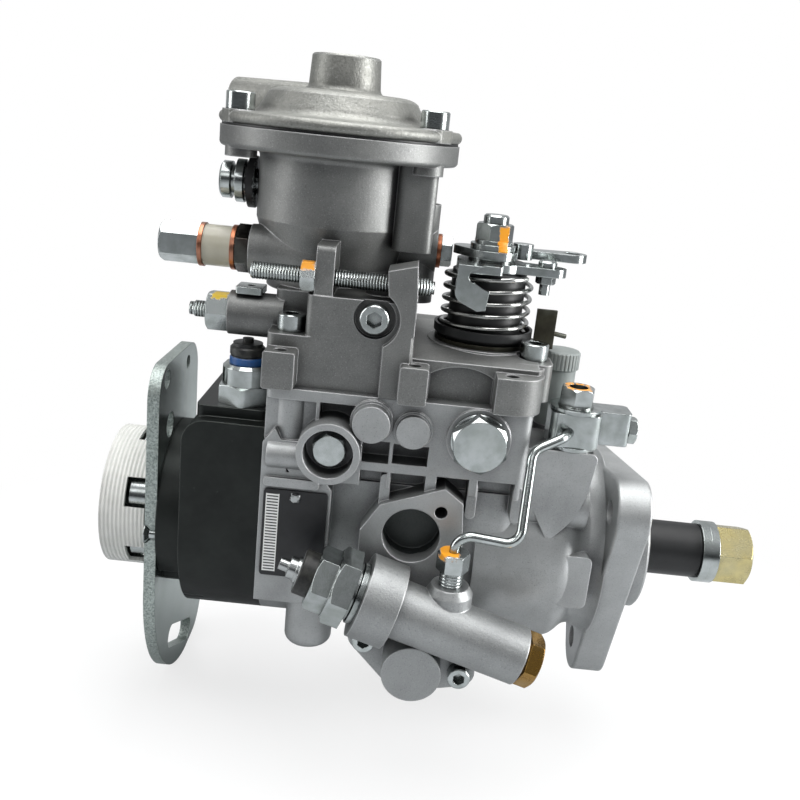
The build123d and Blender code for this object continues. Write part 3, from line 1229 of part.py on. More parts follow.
flute_count = 30
with BuildPart() as inlet_cap:
    # dust cap on the spare inlet, fluted at the top
    add(turned([(6.6, 0.0), (6.6, 21.4), (7.4, 22.0), (7.4, 28.0), (6.8, 28.6)],
               facing(cap_x, cap_y, cap_seat_z, (0, 0, 1))))
    add(turned([(cap_bore_r - 0.1, -9.0), (cap_bore_r - 0.1, 0.0)], facing(cap_x, cap_y, cap_seat_z, (0, 0, 1))))
    with BuildSketch(Plane.XY.offset(cap_seat_z + 22.0)):
        with Locations((cap_x, cap_y)):
            with PolarLocations(7.6, flute_count):
                Circle(0.45)
    extrude(amount=8, mode=Mode.SUBTRACT)
inlet_cap.part.label = "inlet_cap"
export_step(inlet_cap.part, "parts/inlet_cap.step")

# ---------------------------------------------------------------- timing device cover and cold-start unit
def unit_point(u, v):
    """x and z of a point given along and across the tilted frame."""
    return (-timing_x + u * cos(tilt) + v * sin(tilt), timing_z - u * sin(tilt) + v * cos(tilt))


def unit_end(u):
    """Plane across the cold-start unit's axis, facing the terminal."""
    x, z = unit_point(u, unit_v)
    return Plane(origin=(x, -unit_y, z), x_dir=(0, -1, 0), z_dir=(-cos(tilt), 0, sin(tilt)))


def timing_plane(y):
    """Plane parallel to the label side, turned with the timing device, u to the right."""
    return Plane(origin=(-timing_x, -y, timing_z), x_dir=(cos(tilt), 0, -sin(tilt)), z_dir=(0, -1, 0))


with BuildPart() as cold_start_housing:
    with BuildSketch(timing_plane(timing_face_y)):
        Circle(timing_r + timing_wall)
        with Locations((-timing_screw_u, 0), (timing_screw_u, 0)):
            Circle(6.2)
        make_hull()
    extrude(amount=cover_plate_t)
    with BuildSketch(timing_plane(timing_face_y)):
        Circle(10.9)
    extrude(amount=timing_boss_y - timing_face_y)
    # web to the unit's barrel
    with BuildSketch(unit_end(22.0)):
        Circle(unit_r - 0.4)
        with Locations((-(unit_y - timing_face_y - 3.0), -unit_v + 8.0)):
            Rectangle(5.0, 11.0)
        make_hull()
    extrude(amount=38.0)
    with BuildSketch(unit_end(30.6)):
        Circle(unit_r)
    extrude(amount=48.0)
    with BuildSketch(unit_end(-17.2)):
        Circle(collar_r)
    extrude(amount=12.6)
    # upright boss for the union
    with Locations((union_xy[0], union_xy[1], -14.0)):
        Cylinder(8.2, 15.6, align=(Align.CENTER, Align.CENTER, Align.MIN))
    with BuildSketch(Plane.XY.offset(1.6)):
        with Locations(union_xy):
            Circle(8.2)
    extrude(amount=2.8, taper=30)
    # bores for the element and the plug, the fuel way and the union's thread
    with Locations(unit_end(31.0)):
        Cylinder(6.0, 62, align=(Align.CENTER, Align.CENTER, Align.MIN), mode=Mode.SUBTRACT)
    with Locations((union_xy[0], union_xy[1], 6.0)):
        Cylinder(3.4, 20, align=(Align.CENTER, Align.CENTER, Align.MAX), mode=Mode.SUBTRACT)
    # room for the advance piston's end
    with BuildSketch(timing_plane(timing_face_y)):
        Circle(timing_r - 2.0)
    extrude(amount=6.0, mode=Mode.SUBTRACT)
    for side in (-1, 1):
        with BuildSketch(timing_plane(timing_face_y)):
            with Locations((side * timing_screw_u, 0)):
                Circle(head_screw_r + seat)
        extrude(amount=30, mode=Mode.SUBTRACT)
        with BuildSketch(timing_plane(timing_face_y + cover_plate_t)):
            with Locations((side * timing_screw_u, 0)):
                Circle(head_screw_head_r + 1.4)
        extrude(amount=30, mode=Mode.SUBTRACT)
cold_start_housing.part.label = "cold_start_housing"
export_step(cold_start_housing.part, "parts/cold_start_housing.step")

with BuildPart() as timing_cover:
    with BuildSketch(Plane.XZ.offset(-timing_face_y)):
        with Locations((-timing_x, timing_z)):
            Circle(timing_r + timing_wall)
            with Locations(Rotation(0, 0, -timing_tilt)):
                with GridLocations(2 * timing_screw_u, 1, 2, 1):
                    Circle(6.2)
            make_hull()
    extrude(amount=-cover_plate_t)
    with Locations(Plane(origin=(-timing_x, timing_face_y, timing_z), z_dir=(0, 1, 0))):
        Cylinder(timing_r + 1.0, 13.0, align=(Align.CENTER, Align.CENTER, Align.MIN))
        Cylinder(timing_r - 2.0, 10.0, align=(Align.CENTER, Align.CENTER, Align.MIN), mode=Mode.SUBTRACT)
    for side in (-1, 1):
        with BuildSketch(timing_plane(-timing_face_y)):
            with Locations((side * timing_screw_u, 0)):
                Circle(head_screw_r + seat)
        extrude(amount=-30, mode=Mode.SUBTRACT)
timing_cover.part.label = "timing_cover"
export_step(timing_cover.part, "parts/timing_cover.step")

with BuildPart() as timing_screws:
    for side in (-1, 1):
        x, z = unit_point(side * timing_screw_u, 0)
        add(facing(x, -timing_face_y - cover_plate_t, z, (0, -1, 0)).location * small_screw(timing_screw_len))
        add(facing(x, timing_face_y + cover_plate_t, z, (0, 1, 0)).location * small_screw(timing_screw_len))
timing_screws.part.label = "timing_screws"
export_step(timing_screws.part, "parts/timing_screws.step")

with BuildPart() as cold_start_element:
    # threaded element: washer, two hexagons, black disc and terminal nut
    add(turned([(5.95, -30.0), (5.95, 0.0), (11.0, 0.0), (11.0, 2.0), (10.2, 2.4), (10.2, 3.4)], unit_end(-29.8)))
    add(hexagon(24.0, 7.4, unit_end(-33.2), 1.2))
    add(hexagon(20.0, 7.0, unit_end(-40.6), 1.0))
cold_start_element.part.label = "cold_start_element"
export_step(cold_start_element.part, "parts/cold_start_element.step")

with BuildPart() as cold_start_disc:
    add(turned([(8.0, 0.0), (8.0, 4.6), (7.2, 5.2)], unit_end(-47.6)))

with BuildPart() as cold_start_terminal:
    add(turned([(4.8, 0.0), (4.8, 1.0), (4.0, 1.0), (4.0, 3.6), (2.2, 3.8), (2.2, 7.0)], unit_end(-52.8)))
export_step(as_group("cold_start_terminal", cold_start_disc.part, cold_start_terminal.part),
            "parts/cold_start_terminal.step")

with BuildPart() as brass_plug:
    plug_end = unit_end(31.8)
    outward = Plane(origin=plug_end.origin, x_dir=plug_end.x_dir, z_dir=-plug_end.z_dir)
    add(hexagon(17.0, 5.2, outward, 0.8))
    add(turned([(5.95, -14.0), (5.95, -1.2), (8.0, -1.2), (8.0, 0.0)], outward))
brass_plug.part.label = "brass_plug"
export_step(brass_plug.part, "parts/brass_plug.step")

# ---------------------------------------------------------------- steel pipe to the inlet
nut_z = 10.2
union_nut_h = 6.6
union_seat_z = 4.4       # top of the union's boss
union_thread_r = 4.1
with BuildPart() as union_nut:
    at_union = facing(union_xy[0], union_xy[1], nut_z, (0, 0, 1))
    add(hexagon(10.0, union_nut_h, at_union, 0.6))
    add(turned([(3.35, union_seat_z - nut_z - 8.0), (3.35, union_seat_z - nut_z),
                (union_thread_r, union_seat_z - nut_z), (union_thread_r, 0.0)], at_union))
    for n in range(4):
        with Locations((union_xy[0], union_xy[1], union_seat_z + 1.0 + 1.2 * n)):
            Torus(union_thread_r + 0.15, 0.4, mode=Mode.SUBTRACT)
    with Locations((union_xy[0], union_xy[1], nut_z)):
        Cylinder(pipe_r + fit, 40, mode=Mode.SUBTRACT)
union_nut.part.label = "union_nut"
export_step(union_nut.part, "parts/union_nut.step")

pipe_points = [(union_xy[0], union_xy[1], -1.0), (union_xy[0], union_xy[1], 23.6), (-48.0, -60.0, 21.4),
               (-46.2, -47.5, 52.0),
               (-inlet_x + 15.0 * cos(radians(pipe_angle)), inlet_y + 15.0 * sin(radians(pipe_angle)), pipe_end_z),
               (-inlet_x + pipe_entry * cos(radians(pipe_angle)),
                inlet_y + pipe_entry * sin(radians(pipe_angle)), pipe_end_z)]
with BuildPart() as feed_pipe:
    with BuildLine() as pipe_line:
        FilletPolyline(*pipe_points, radius=5.5)
    with BuildSketch(Plane(origin=pipe_points[0], z_dir=(0, 0, 1))):
        Circle(pipe_r)
    sweep(path=pipe_line.line, transition=Transition.ROUND)
feed_pipe.part.label = "feed_pipe"
export_step(feed_pipe.part, "parts/feed_pipe.step")

# ---------------------------------------------------------------- lever shaft, lever and its spring
stop_plate_t = 1.5
cup_t = 1.2
lever_z = 108.6
lever_t = 3.0
hub_plate_z = 112.5       # upper plate of the lever, riveted over the lower one
hub_plate_t = 3.0
lever_sleeve_r = 13.6
coil_r = 15.7
wire_r = 0.85
coil_pitch = 4.4
spring_z0 = cup_z + stop_plate_t + cup_t + 1.4
spring_turns = 4.9
with BuildPart() as stop_plate:
    with BuildSketch(Plane.XY.offset(cup_z)):
        with Locations((-throttle_x, throttle_y)):
            Circle(cup_r - 0.6)
        with Locations((-throttle_x + 14.0, throttle_y + 1.0)):
            Rectangle(22.0, 9.0)
        with Locations((-throttle_x, throttle_y)):
            Circle(throttle_shaft_r + gap, mode=Mode.SUBTRACT)
    extrude(amount=stop_plate_t)
    # tab bent up beside the spring
    with BuildSketch(Plane.XY.offset(cup_z)):
        with Locations((-throttle_x + 22.6, throttle_y - 2.6)):
            Rectangle(7.4, 1.8)
    extrude(amount=14.4)
    with Locations(Plane(origin=(-throttle_x + 25.0, throttle_y + 2.0, cup_z + stop_plate_t + 3.6),
                         z_dir=(0.95, 0.25, -0.18))):
        Cylinder(0.9, 7.0, align=(Align.CENTER, Align.CENTER, Align.MIN))
    with BuildSketch(Plane.XY.offset(cup_z)):
        with Locations((-throttle_x + 25.5, throttle_y + 1.0)):
            Rectangle(1.6, 9.0)
    extrude(amount=7.4)
stop_plate.part.label = "stop_plate"
export_step(stop_plate.part, "parts/stop_plate.step")

with BuildPart() as spring_cup:
    cup_plane = Plane.XY.offset(cup_z + stop_plate_t)
    add(turned([(cup_r - 1.6, 0.0), (cup_r, 1.6), (cup_r, 4.6), (cup_r - 1.0, 4.6), (cup_r - 1.0, cup_t),
                (lever_sleeve_r, cup_t), (lever_sleeve_r, lever_z - cup_z - stop_plate_t - 1.0),
                (lever_sleeve_r - 1.2, lever_z - cup_z - stop_plate_t - gap)],
               facing(-throttle_x, throttle_y, cup_z + stop_plate_t, (0, 0, 1))))
    with Locations((-throttle_x, throttle_y, cup_z)):
        Cylinder(throttle_shaft_r + gap, 60, align=(Align.CENTER, Align.CENTER, Align.MIN),
                 mode=Mode.SUBTRACT)
spring_cup.part.label = "spring_cup"
export_step(spring_cup.part, "parts/spring_cup.step")

shaft_foot_z = cover_base_z - 11.0
stud_r = 4.6
stud_top_z = 128.0
with BuildPart() as throttle_shaft:
    add(turned([(throttle_shaft_r, shaft_foot_z), (throttle_shaft_r, lever_z), (stud_r, lever_z),
                (stud_r, stud_top_z - 0.6), (stud_r - 0.6, stud_top_z)], facing(-throttle_x, throttle_y, 0, (0, 0, 1))))
    # crank and pin that hold the governor spring
    with BuildSketch(Plane.XY.offset(shaft_foot_z - 2.5)):
        with Locations((-throttle_x - 4.5, throttle_y)):
            SlotOverall(21.0, 2 * throttle_shaft_r)
    extrude(amount=3.5)
    with Locations((-throttle_x - 10.0, throttle_y, shaft_foot_z - 9.5)):
        Cylinder(1.8, 8.0, align=(Align.CENTER, Align.CENTER, Align.MIN))
throttle_shaft.part.label = "throttle_shaft"
export_step(throttle_shaft.part, "parts/throttle_shaft.step")

with BuildPart() as throttle_lever:
    with BuildSketch(Plane.XY.offset(lever_z)):
        with Locations((-throttle_x, throttle_y)):
            Circle(12.5)
        # front arm towards the drive end
        with BuildLine():
            Polyline((-throttle_x, throttle_y - 9), (-throttle_x + 20, throttle_y - 9.5))
            ThreePointArc((-throttle_x + 20, throttle_y - 9.5), (-throttle_x + 27, throttle_y - 4.5),
                          (-throttle_x + 21.5, throttle_y + 1.0))
            Polyline((-throttle_x + 21.5, throttle_y + 1.0), (-throttle_x + 9, throttle_y + 4),
                     (-throttle_x, throttle_y - 9))
        make_face()
        # front shoulder that carries the hook
        with Locations((-throttle_x - 4.8, throttle_y - 13.0)):
            RectangleRounded(16.0, 10.0, 1.5)
        with Locations((-throttle_x, throttle_y)):
            Circle(stud_r, mode=Mode.SUBTRACT)
        with Locations((-throttle_x + 20.0, throttle_y - 4.5)):
            Circle(2.0, mode=Mode.SUBTRACT)
    extrude(amount=lever_t)
    # hook bent down in front of the spring
    with BuildSketch(Plane.XZ.offset(-throttle_y + 18.0)):
        with BuildLine():
            Polyline((-throttle_x - 4.0, lever_z + lever_t), (-throttle_x - 12.6, lever_z + lever_t),
                     (-throttle_x - 12.9, lever_z - 6.5))
            ThreePointArc((-throttle_x - 12.9, lever_z - 6.5), (-throttle_x - 12.0, lever_z - 8.9),
                          (-throttle_x - 10.0, lever_z - 10.4))
            Polyline((-throttle_x - 10.0, lever_z - 10.4), (-throttle_x - 4.6, lever_z - 12.8),
                     (-throttle_x - 1.6, lever_z - 12.2), (-throttle_x - 1.0, lever_z - 5.6),
                     (-throttle_x - 3.2, lever_z - 4.8), (-throttle_x - 6.4, lever_z - 3.0))
            ThreePointArc((-throttle_x - 6.4, lever_z - 3.0), (-throttle_x - 8.6, lever_z - 0.6),
                          (-throttle_x - 6.6, lever_z + 1.2))
            Line((-throttle_x - 6.6, lever_z + 1.2), (-throttle_x - 4.0, lever_z + lever_t))
        make_face()
    extrude(amount=2.6)
    # hub between the plates, upper plate with its rear lobe and rear arm, boss beside the nut
    with BuildSketch(Plane.XY.offset(lever_z + lever_t)):
        with Locations((-throttle_x, throttle_y)):
            Circle(8.6)
            Circle(stud_r, mode=Mode.SUBTRACT)
    extrude(amount=hub_plate_z - lever_z - lever_t)
    with BuildSketch(Plane.XY.offset(hub_plate_z)):
        with Locations((-throttle_x, throttle_y)):
            Circle(9.4)
        with Locations((-throttle_x - 8.5, throttle_y + 5.0)):
            Circle(5.5)
        make_hull()
        with BuildLine():
            Polyline((-throttle_x + 2, throttle_y + 8), (-throttle_x + 30, throttle_y + 6.5))
            ThreePointArc((-throttle_x + 30, throttle_y + 6.5), (-throttle_x + 36.5, throttle_y + 13),
                          (-throttle_x + 31, throttle_y + 18.5))
            Polyline((-throttle_x + 31, throttle_y + 18.5), (-throttle_x - 2, throttle_y + 11.5),
                     (-throttle_x + 2, throttle_y + 8))
        make_face()
        with Locations((-throttle_x, throttle_y)):
            Circle(stud_r, mode=Mode.SUBTRACT)
        with Locations((-throttle_x + 31.0, throttle_y + 12.5)):
            Circle(3.0, mode=Mode.SUBTRACT)
    extrude(amount=hub_plate_t)
    with Locations((-throttle_x + 11.5, throttle_y + 5.0, hub_plate_z)):
        Cylinder(3.8, hub_plate_t + 2.6, align=(Align.CENTER, Align.CENTER, Align.MIN))
throttle_lever.part.label = "throttle_lever"
export_step(throttle_lever.part, "parts/throttle_lever.step")

throttle_washer_t = 2.0
lock_washer_t = 1.4
with BuildPart() as throttle_nut:
    stack = hub_plate_z + hub_plate_t
    with BuildSketch(Plane.XY.offset(stack)):
        with Locations((-throttle_x, throttle_y)):
            Circle(8.3)
            Circle(stud_r + 0.02, mode=Mode.SUBTRACT)
    extrude(amount=throttle_washer_t)
    with BuildSketch(Plane.XY.offset(stack + throttle_washer_t)):
        with Locations((-throttle_x, throttle_y)):
            Circle(6.9)
            Circle(stud_r + 0.02, mode=Mode.SUBTRACT)
    extrude(amount=lock_washer_t)
    add(hexagon(12.2, 6.0, facing(-throttle_x, throttle_y, stack + throttle_washer_t + lock_washer_t,
                                  (0, 0, 1), 12.0), 0.7, stud_r + 0.02))

with BuildPart() as lever_stop_screw:
    # stop screw through the front arm, with its nut underneath
    at_arm = facing(-throttle_x + 20.0, throttle_y - 4.5, lever_z, (0, 0, 1))
    add(turned([(1.95, -7.0), (1.95, lever_t), (3.4, lever_t), (3.4, lever_t + 1.8), (2.6, lever_t + 2.4)], at_arm))
    add(hexagon(6.4, 3.0, facing(-throttle_x + 20.0, throttle_y - 4.5, lever_z, (0, 0, -1)), 0.4))
export_step(as_group("lever_fasteners", throttle_nut.part, lever_stop_screw.part),
            "parts/lever_fasteners.step")

with BuildPart() as throttle_spring:
    with BuildLine() as coil_line:
        Helix(coil_pitch, coil_pitch * spring_turns, coil_r, center=(-throttle_x, throttle_y, spring_z0))
    with BuildSketch(Plane(origin=coil_line.line @ 0, z_dir=coil_line.line % 0)):
        Circle(wire_r)
    sweep(path=coil_line.line, is_frenet=True)
throttle_spring.part.label = "throttle_spring"
export_step(throttle_spring.part, "parts/throttle_spring.step")

# ---------------------------------------------------------------- drive shaft and what turns with it
def on_shaft(x, direction=1):
    """Plane across the drive shaft at x, facing along it."""
    return facing(x, 0, 0, (direction, 0, 0))


shaft_end = 52.6
taper_end = taper_start + taper_len
nut_start = taper_end + 2 * washer_t
ring_front = -ring_bore_front
vane_t = 15.0
plate_t = 3.0
gear_front = -59.0
gear_t = 6.0
dog_len = 16.0
dog_inner = 5.0
dog_outer = 11.6
dog_w = 8.0
dog_start = -70.0
roller_x = -88.0
roller_r = 5.0
roller_len = 8.0
roller_circle_r = 18.5
roller_count = 4
ring_front_x = -72.0
ring_rear_x = -90.0
ring_hole_r = 12.6
ring_out_r = 24.6
cam_face = roller_x - roller_r - 1.4
cam_r = 24.0
cam_t = 5.0
cam_rise = 1.2
plunger_end = -172.0
collar_x = -118.0
collar_len = 10.0
collar_out_r = 10.5

with BuildPart() as drive_shaft:
    add(turned([(9.0, dog_start - 2.0), (9.0, gear_front - gear_t), (9.0, ring_front + 0.5),
                (journal_r, ring_front + 0.5), (journal_r, taper_start), (taper_small_r, taper_end),
                (thread_r, taper_end), (thread_r, shaft_end - 1.0), (thread_r - 1.0, shaft_end)], on_shaft(0)))
    # two dogs that turn the coupling disc
    with BuildSketch(Plane.YZ.offset(dog_start)):
        with Locations(((dog_inner + dog_outer) / 2, 0), (-(dog_inner + dog_outer) / 2, 0)):
            Rectangle(dog_outer - dog_inner, dog_w)
    extrude(amount=-dog_len)
    with BuildSketch(Plane.YZ.offset(dog_start)):
        Circle(ring_hole_r - 0.6)
    extrude(amount=4.0)
    # turned grooves of the threaded end
    for n in range(9):
        with Locations(Plane(origin=(nut_start - 5.6 + n * 1.5, 0, 0), z_dir=(1, 0, 0))):
            Torus(thread_r + 0.15, 0.5, mode=Mode.SUBTRACT)
    with Locations(Plane(origin=(shaft_end - 6, 0, 0), z_dir=(1, 0, 0))):
        Cone(0.4, 3.2, 7.0, align=(Align.CENTER, Align.CENTER, Align.MIN), mode=Mode.SUBTRACT)

with BuildPart() as taper_sleeve:
    add(turned([(sleeve_r, 0.0), (sleeve_r, taper_len - 0.1)], on_shaft(taper_start)))
    add(turned([(journal_r + 0.02, 0.0), (taper_small_r + 0.02, taper_len)], on_shaft(taper_start)),
        mode=Mode.SUBTRACT)
taper_sleeve.part.label = "taper_sleeve"
export_step(taper_sleeve.part, "parts/taper_sleeve.step")

with BuildPart() as shaft_washers:
    for n in range(2):
        with Locations(on_shaft(taper_end + n * washer_t)):
            Cylinder(washer_r, washer_t - 0.02, align=(Align.CENTER, Align.CENTER, Align.MIN))
            Cylinder(thread_r + 0.02, washer_t, align=(Align.CENTER, Align.CENTER, Align.MIN),
                     mode=Mode.SUBTRACT)
shaft_washers.part.label = "shaft_washers"
export_step(shaft_washers.part, "parts/shaft_washers.step")

with BuildPart() as shaft_nut:
    add(hexagon(nut_af, nut_h, facing(nut_start, 0, 0, (1, 0, 0), 12.0), 1.2, thread_r + 0.02))
shaft_nut.part.label = "shaft_nut"
export_step(shaft_nut.part, "parts/shaft_nut.step")

rotor_r = 19.8
ring_shift = 1.2
vane_count = 4
with BuildPart() as vane_rotor:
    with BuildSketch(Plane.YZ.offset(ring_front - 0.1)):
        Circle(rotor_r)
        with PolarLocations(rotor_r - 4.0, vane_count, start_angle=45):
            Rectangle(9.0, 2.2, mode=Mode.SUBTRACT)
        Circle(9.0 + 0.02, mode=Mode.SUBTRACT)
    extrude(amount=-vane_t + 0.2)
    with BuildSketch(Plane.YZ.offset(ring_front - 0.1)):
        with PolarLocations(rotor_r - 3.9, vane_count, start_angle=45):
            Rectangle(8.2, 2.0)
    extrude(amount=-vane_t + 0.2)
vane_rotor.part.label = "vane_rotor"
export_step(vane_rotor.part, "parts/vane_rotor.step")

with BuildPart() as vane_ring:
    with BuildSketch(Plane.YZ.offset(ring_front)):
        Circle(ring_bore_r - seat)
        with Locations((0, -ring_shift)):
            Circle(rotor_r + ring_shift + 0.5, mode=Mode.SUBTRACT)
    extrude(amount=-vane_t)

with BuildPart() as vane_plate:
    with BuildSketch(Plane.YZ.offset(ring_front - vane_t)):
        Circle(ring_bore_r - seat)
        Circle(9.0 + fit, mode=Mode.SUBTRACT)
        with Locations((0, 16.0), (0, -16.0)):
            SlotOverall(14.0, 3.0, mode=Mode.SUBTRACT)
    extrude(amount=-plate_t)
export_step(as_group("vane_ring", vane_ring.part, vane_plate.part),
            "parts/vane_ring.step")


def gear_sketch(teeth, turn, bore):
    """Spur gear of straight-sided teeth with running clearance, pitch radius teeth / 2."""
    pitch = gear_module * teeth / 2
    with BuildSketch() as outline:
        Circle(pitch - 1.1)
        with PolarLocations(pitch - 0.2, teeth, start_angle=turn):
            Trapezoid(1.9, 2.2, 72, rotation=-90)
        Circle(bore, mode=Mode.SUBTRACT)
    return outline.sketch


with BuildPart() as shaft_gear:
    with BuildSketch(Plane.YZ.offset(gear_front - gear_t)):
        add(gear_sketch(shaft_teeth, 90.0, 9.0 + 0.02))
    extrude(amount=gear_t)
export_step(as_group("drive_shaft", drive_shaft.part, shaft_gear.part),
            "parts/drive_shaft.step")

with BuildPart() as coupling_disc:
    with BuildSketch(Plane.YZ.offset(dog_start - 9.0)):
        Circle(ring_hole_r - 0.5)
        with Locations(((dog_inner + dog_outer + 1.0) / 2, 0), (-(dog_inner + dog_outer + 1.0) / 2, 0)):
            Rectangle(dog_outer - dog_inner + 1.6, dog_w + 0.1, mode=Mode.SUBTRACT)
        with Locations((0, (dog_inner + dog_outer + 1.0) / 2), (0, -(dog_inner + dog_outer + 1.0) / 2)):
            Rectangle(dog_w + 0.1, dog_outer - dog_inner + 1.6, mode=Mode.SUBTRACT)
    extrude(amount=-6.0)

with BuildPart() as cam_plate:
    with BuildSketch(Plane.YZ.offset(cam_face)):
        Circle(cam_r)
    extrude(amount=-cam_t)
    # face cams, one for each outlet of a four-roller drive
    with BuildSketch(Plane.YZ.offset(cam_face - 1.0)):
        with PolarLocations(roller_circle_r, outlet_count, start_angle=outlet_angle):
            Rectangle(9.0, 6.0)
    extrude(amount=1.0 + cam_rise, taper=20)
    with BuildSketch(Plane.YZ.offset(cam_face - 1.0)):
        with Locations((0, (dog_inner + dog_outer) / 2), (0, -(dog_inner + dog_outer) / 2)):
            Rectangle(dog_w, dog_outer - dog_inner)
    extrude(amount=dog_len)
    with BuildSketch(Plane.YZ.offset(cam_face - cam_t)):
        Circle(9.0)
    extrude(amount=-4.0)
export_step(as_group("cam_plate", coupling_disc.part, cam_plate.part),
            "parts/cam_plate.step")

plunger_start = cam_face - cam_t - 4.0
with BuildPart() as plunger:
    add(turned([(plunger_r, plunger_end), (plunger_r, plunger_start)], on_shaft(0)))
    with Locations(on_shaft(plunger_end - 1)):
        Cylinder(1.5, collar_x - plunger_end + 3, align=(Align.CENTER, Align.CENTER, Align.MIN),
                 mode=Mode.SUBTRACT)
    with Locations(Plane(origin=(collar_x, 0, 0), z_dir=(0, 1, 0))):
        Cylinder(1.5, 30, mode=Mode.SUBTRACT)
    with BuildSketch(Plane.YZ.offset(plunger_end - 1)):
        with PolarLocations(plunger_r, outlet_count, start_angle=outlet_angle):
            Rectangle(1.6, 1.6)
    extrude(amount=7.0, mode=Mode.SUBTRACT)
plunger.part.label = "plunger"
export_step(plunger.part, "parts/plunger.step")

bridge_x = plunger_start - 0.3
bridge_t = 3.0
return_spring_y = 20.5
with BuildPart() as spring_bridge:
    with BuildSketch(Plane.YZ.offset(bridge_x - bridge_t)):
        with Locations((return_spring_y, 0), (-return_spring_y, 0)):
            Circle(7.0)
        make_hull()
        Circle(plunger_r + gap, mode=Mode.SUBTRACT)
    extrude(amount=bridge_t)
    # guide pins inside the springs, seated in the head
    for side in (-1, 1):
        with Locations(Plane(origin=(bridge_x - 1.0, side * return_spring_y, 0), z_dir=(-1, 0, 0))):
            Cylinder(2.6, 10.0, align=(Align.CENTER, Align.CENTER, Align.MIN))

return_wire_r = 0.9
return_turns = 7
with BuildPart() as return_coil:
    with BuildLine() as coil_line:
        Helix((body_len + bridge_x - bridge_t - 2 * return_wire_r - 0.1) / return_turns,
              body_len + bridge_x - bridge_t - 2 * return_wire_r - 0.1, 4.6)
    with BuildSketch(Plane(origin=coil_line.line @ 0, z_dir=coil_line.line % 0)):
        Circle(return_wire_r)
    sweep(path=coil_line.line, is_frenet=True)

with BuildPart() as plunger_springs:
    for side in (-1, 1):
        add(facing(-body_len + return_wire_r + 0.05, side * return_spring_y, 0, (1, 0, 0)).location
            * return_coil.part)
export_step(as_group("plunger_springs", spring_bridge.part, plunger_springs.part),
            "parts/plunger_springs.step")

with BuildPart() as control_collar:
    with BuildSketch(Plane.YZ.offset(collar_x - collar_len / 2)):
        Circle(collar_out_r)
        Circle(plunger_r + fit, mode=Mode.SUBTRACT)
    extrude(amount=collar_len)
    with Locations((collar_x, 0, plunger_r - 0.5)):
        Cylinder(3.3, 9.9, align=(Align.CENTER, Align.CENTER, Align.MIN), mode=Mode.SUBTRACT)
control_collar.part.label = "control_collar"
export_step(control_collar.part, "parts/control_collar.step")

# ---------------------------------------------------------------- roller ring and advance piston
pin_r = 3.0
with BuildPart() as roller_ring:
    with BuildSketch(Plane.YZ.offset(ring_rear_x)):
        Circle(ring_out_r)
        Circle(ring_hole_r, mode=Mode.SUBTRACT)
    extrude(amount=ring_front_x - ring_rear_x)
    for n in range(roller_count):
        angle = radians(45 + n * 360 / roller_count)
        with Locations(Plane(origin=(roller_x, roller_circle_r * cos(angle), roller_circle_r * sin(angle)),
                             z_dir=(0, cos(angle), sin(angle)))):
            Cylinder(roller_r + fit, roller_len + 0.4, mode=Mode.SUBTRACT)
    # pin down into the advance piston
    with Locations((-timing_x, 0, -ring_out_r + 3.0)):
        Cylinder(pin_r, -timing_z - ring_out_r + 4.0, align=(Align.CENTER, Align.CENTER, Align.MAX))

with BuildPart() as rollers:
    for n in range(roller_count):
        angle = radians(45 + n * 360 / roller_count)
        with Locations(Plane(origin=(roller_x, roller_circle_r * cos(angle), roller_circle_r * sin(angle)),
                             z_dir=(0, cos(angle), sin(angle)))):
            Cylinder(roller_r, roller_len)
export_step(as_group("roller_ring", roller_ring.part, rollers.part),
            "parts/roller_ring.step")

piston_half = 24.0
piston_travel = 4.0
with BuildPart() as advance_piston:
    with Locations(Plane(origin=(-timing_x, 0, timing_z), z_dir=(0, 1, 0))):
        Cylinder(timing_r, 2 * piston_half)
    with BuildSketch(Plane.XY.offset(timing_z + timing_r + 1)):
        with Locations((-timing_x, 0)):
            RectangleRounded(2 * pin_r + 0.6, 2 * pin_r + 3.4, 2.0)
    extrude(amount=-timing_r - 4.0, mode=Mode.SUBTRACT)
    with BuildSketch(Plane.XY.offset(-ring_out_r - gap)):
        with Locations((-timing_x, 0)):
            Rectangle(2 * timing_r + 2, 22.0)
    extrude(amount=6.0, mode=Mode.SUBTRACT)
    with Locations(Plane(origin=(-timing_x, piston_half, timing_z), z_dir=(0, -1, 0))):
        Cylinder(timing_r - 2.5, 12.0, align=(Align.CENTER, Align.CENTER, Align.MIN), mode=Mode.SUBTRACT)
advance_piston.part.label = "advance_piston"
export_step(advance_piston.part, "parts/advance_piston.step")

timing_coil_r = 6.4
timing_wire_r = 1.0
timing_coil_len = timing_face_y + 10.0 - piston_half + 12.0 - 2 * timing_wire_r - 0.1
with BuildPart() as timing_spring:
    with BuildLine() as coil_line:
        Helix(timing_coil_len / 7, timing_coil_len, timing_coil_r)
    with BuildSketch(Plane(origin=coil_line.line @ 0, z_dir=coil_line.line % 0)):
        Circle(timing_wire_r)
    sweep(path=coil_line.line, is_frenet=True)
timing_spring_part = facing(-timing_x, piston_half - 12.0 + timing_wire_r + 0.05, timing_z, (0, 1, 0)).location \
    * timing_spring.part
timing_spring_part.label = "timing_spring"
export_step(timing_spring_part, "parts/timing_spring.step")

# ---------------------------------------------------------------- governor
carrier_x = gear_front - gear_t
with BuildPart() as governor_shaft:
    with Locations(Plane(origin=(governor_shaft_x, 0, governor_z), z_dir=(-1, 0, 0))):
        Cylinder(governor_shaft_r, 50.0, align=(Align.CENTER, Align.CENTER, Align.MIN))

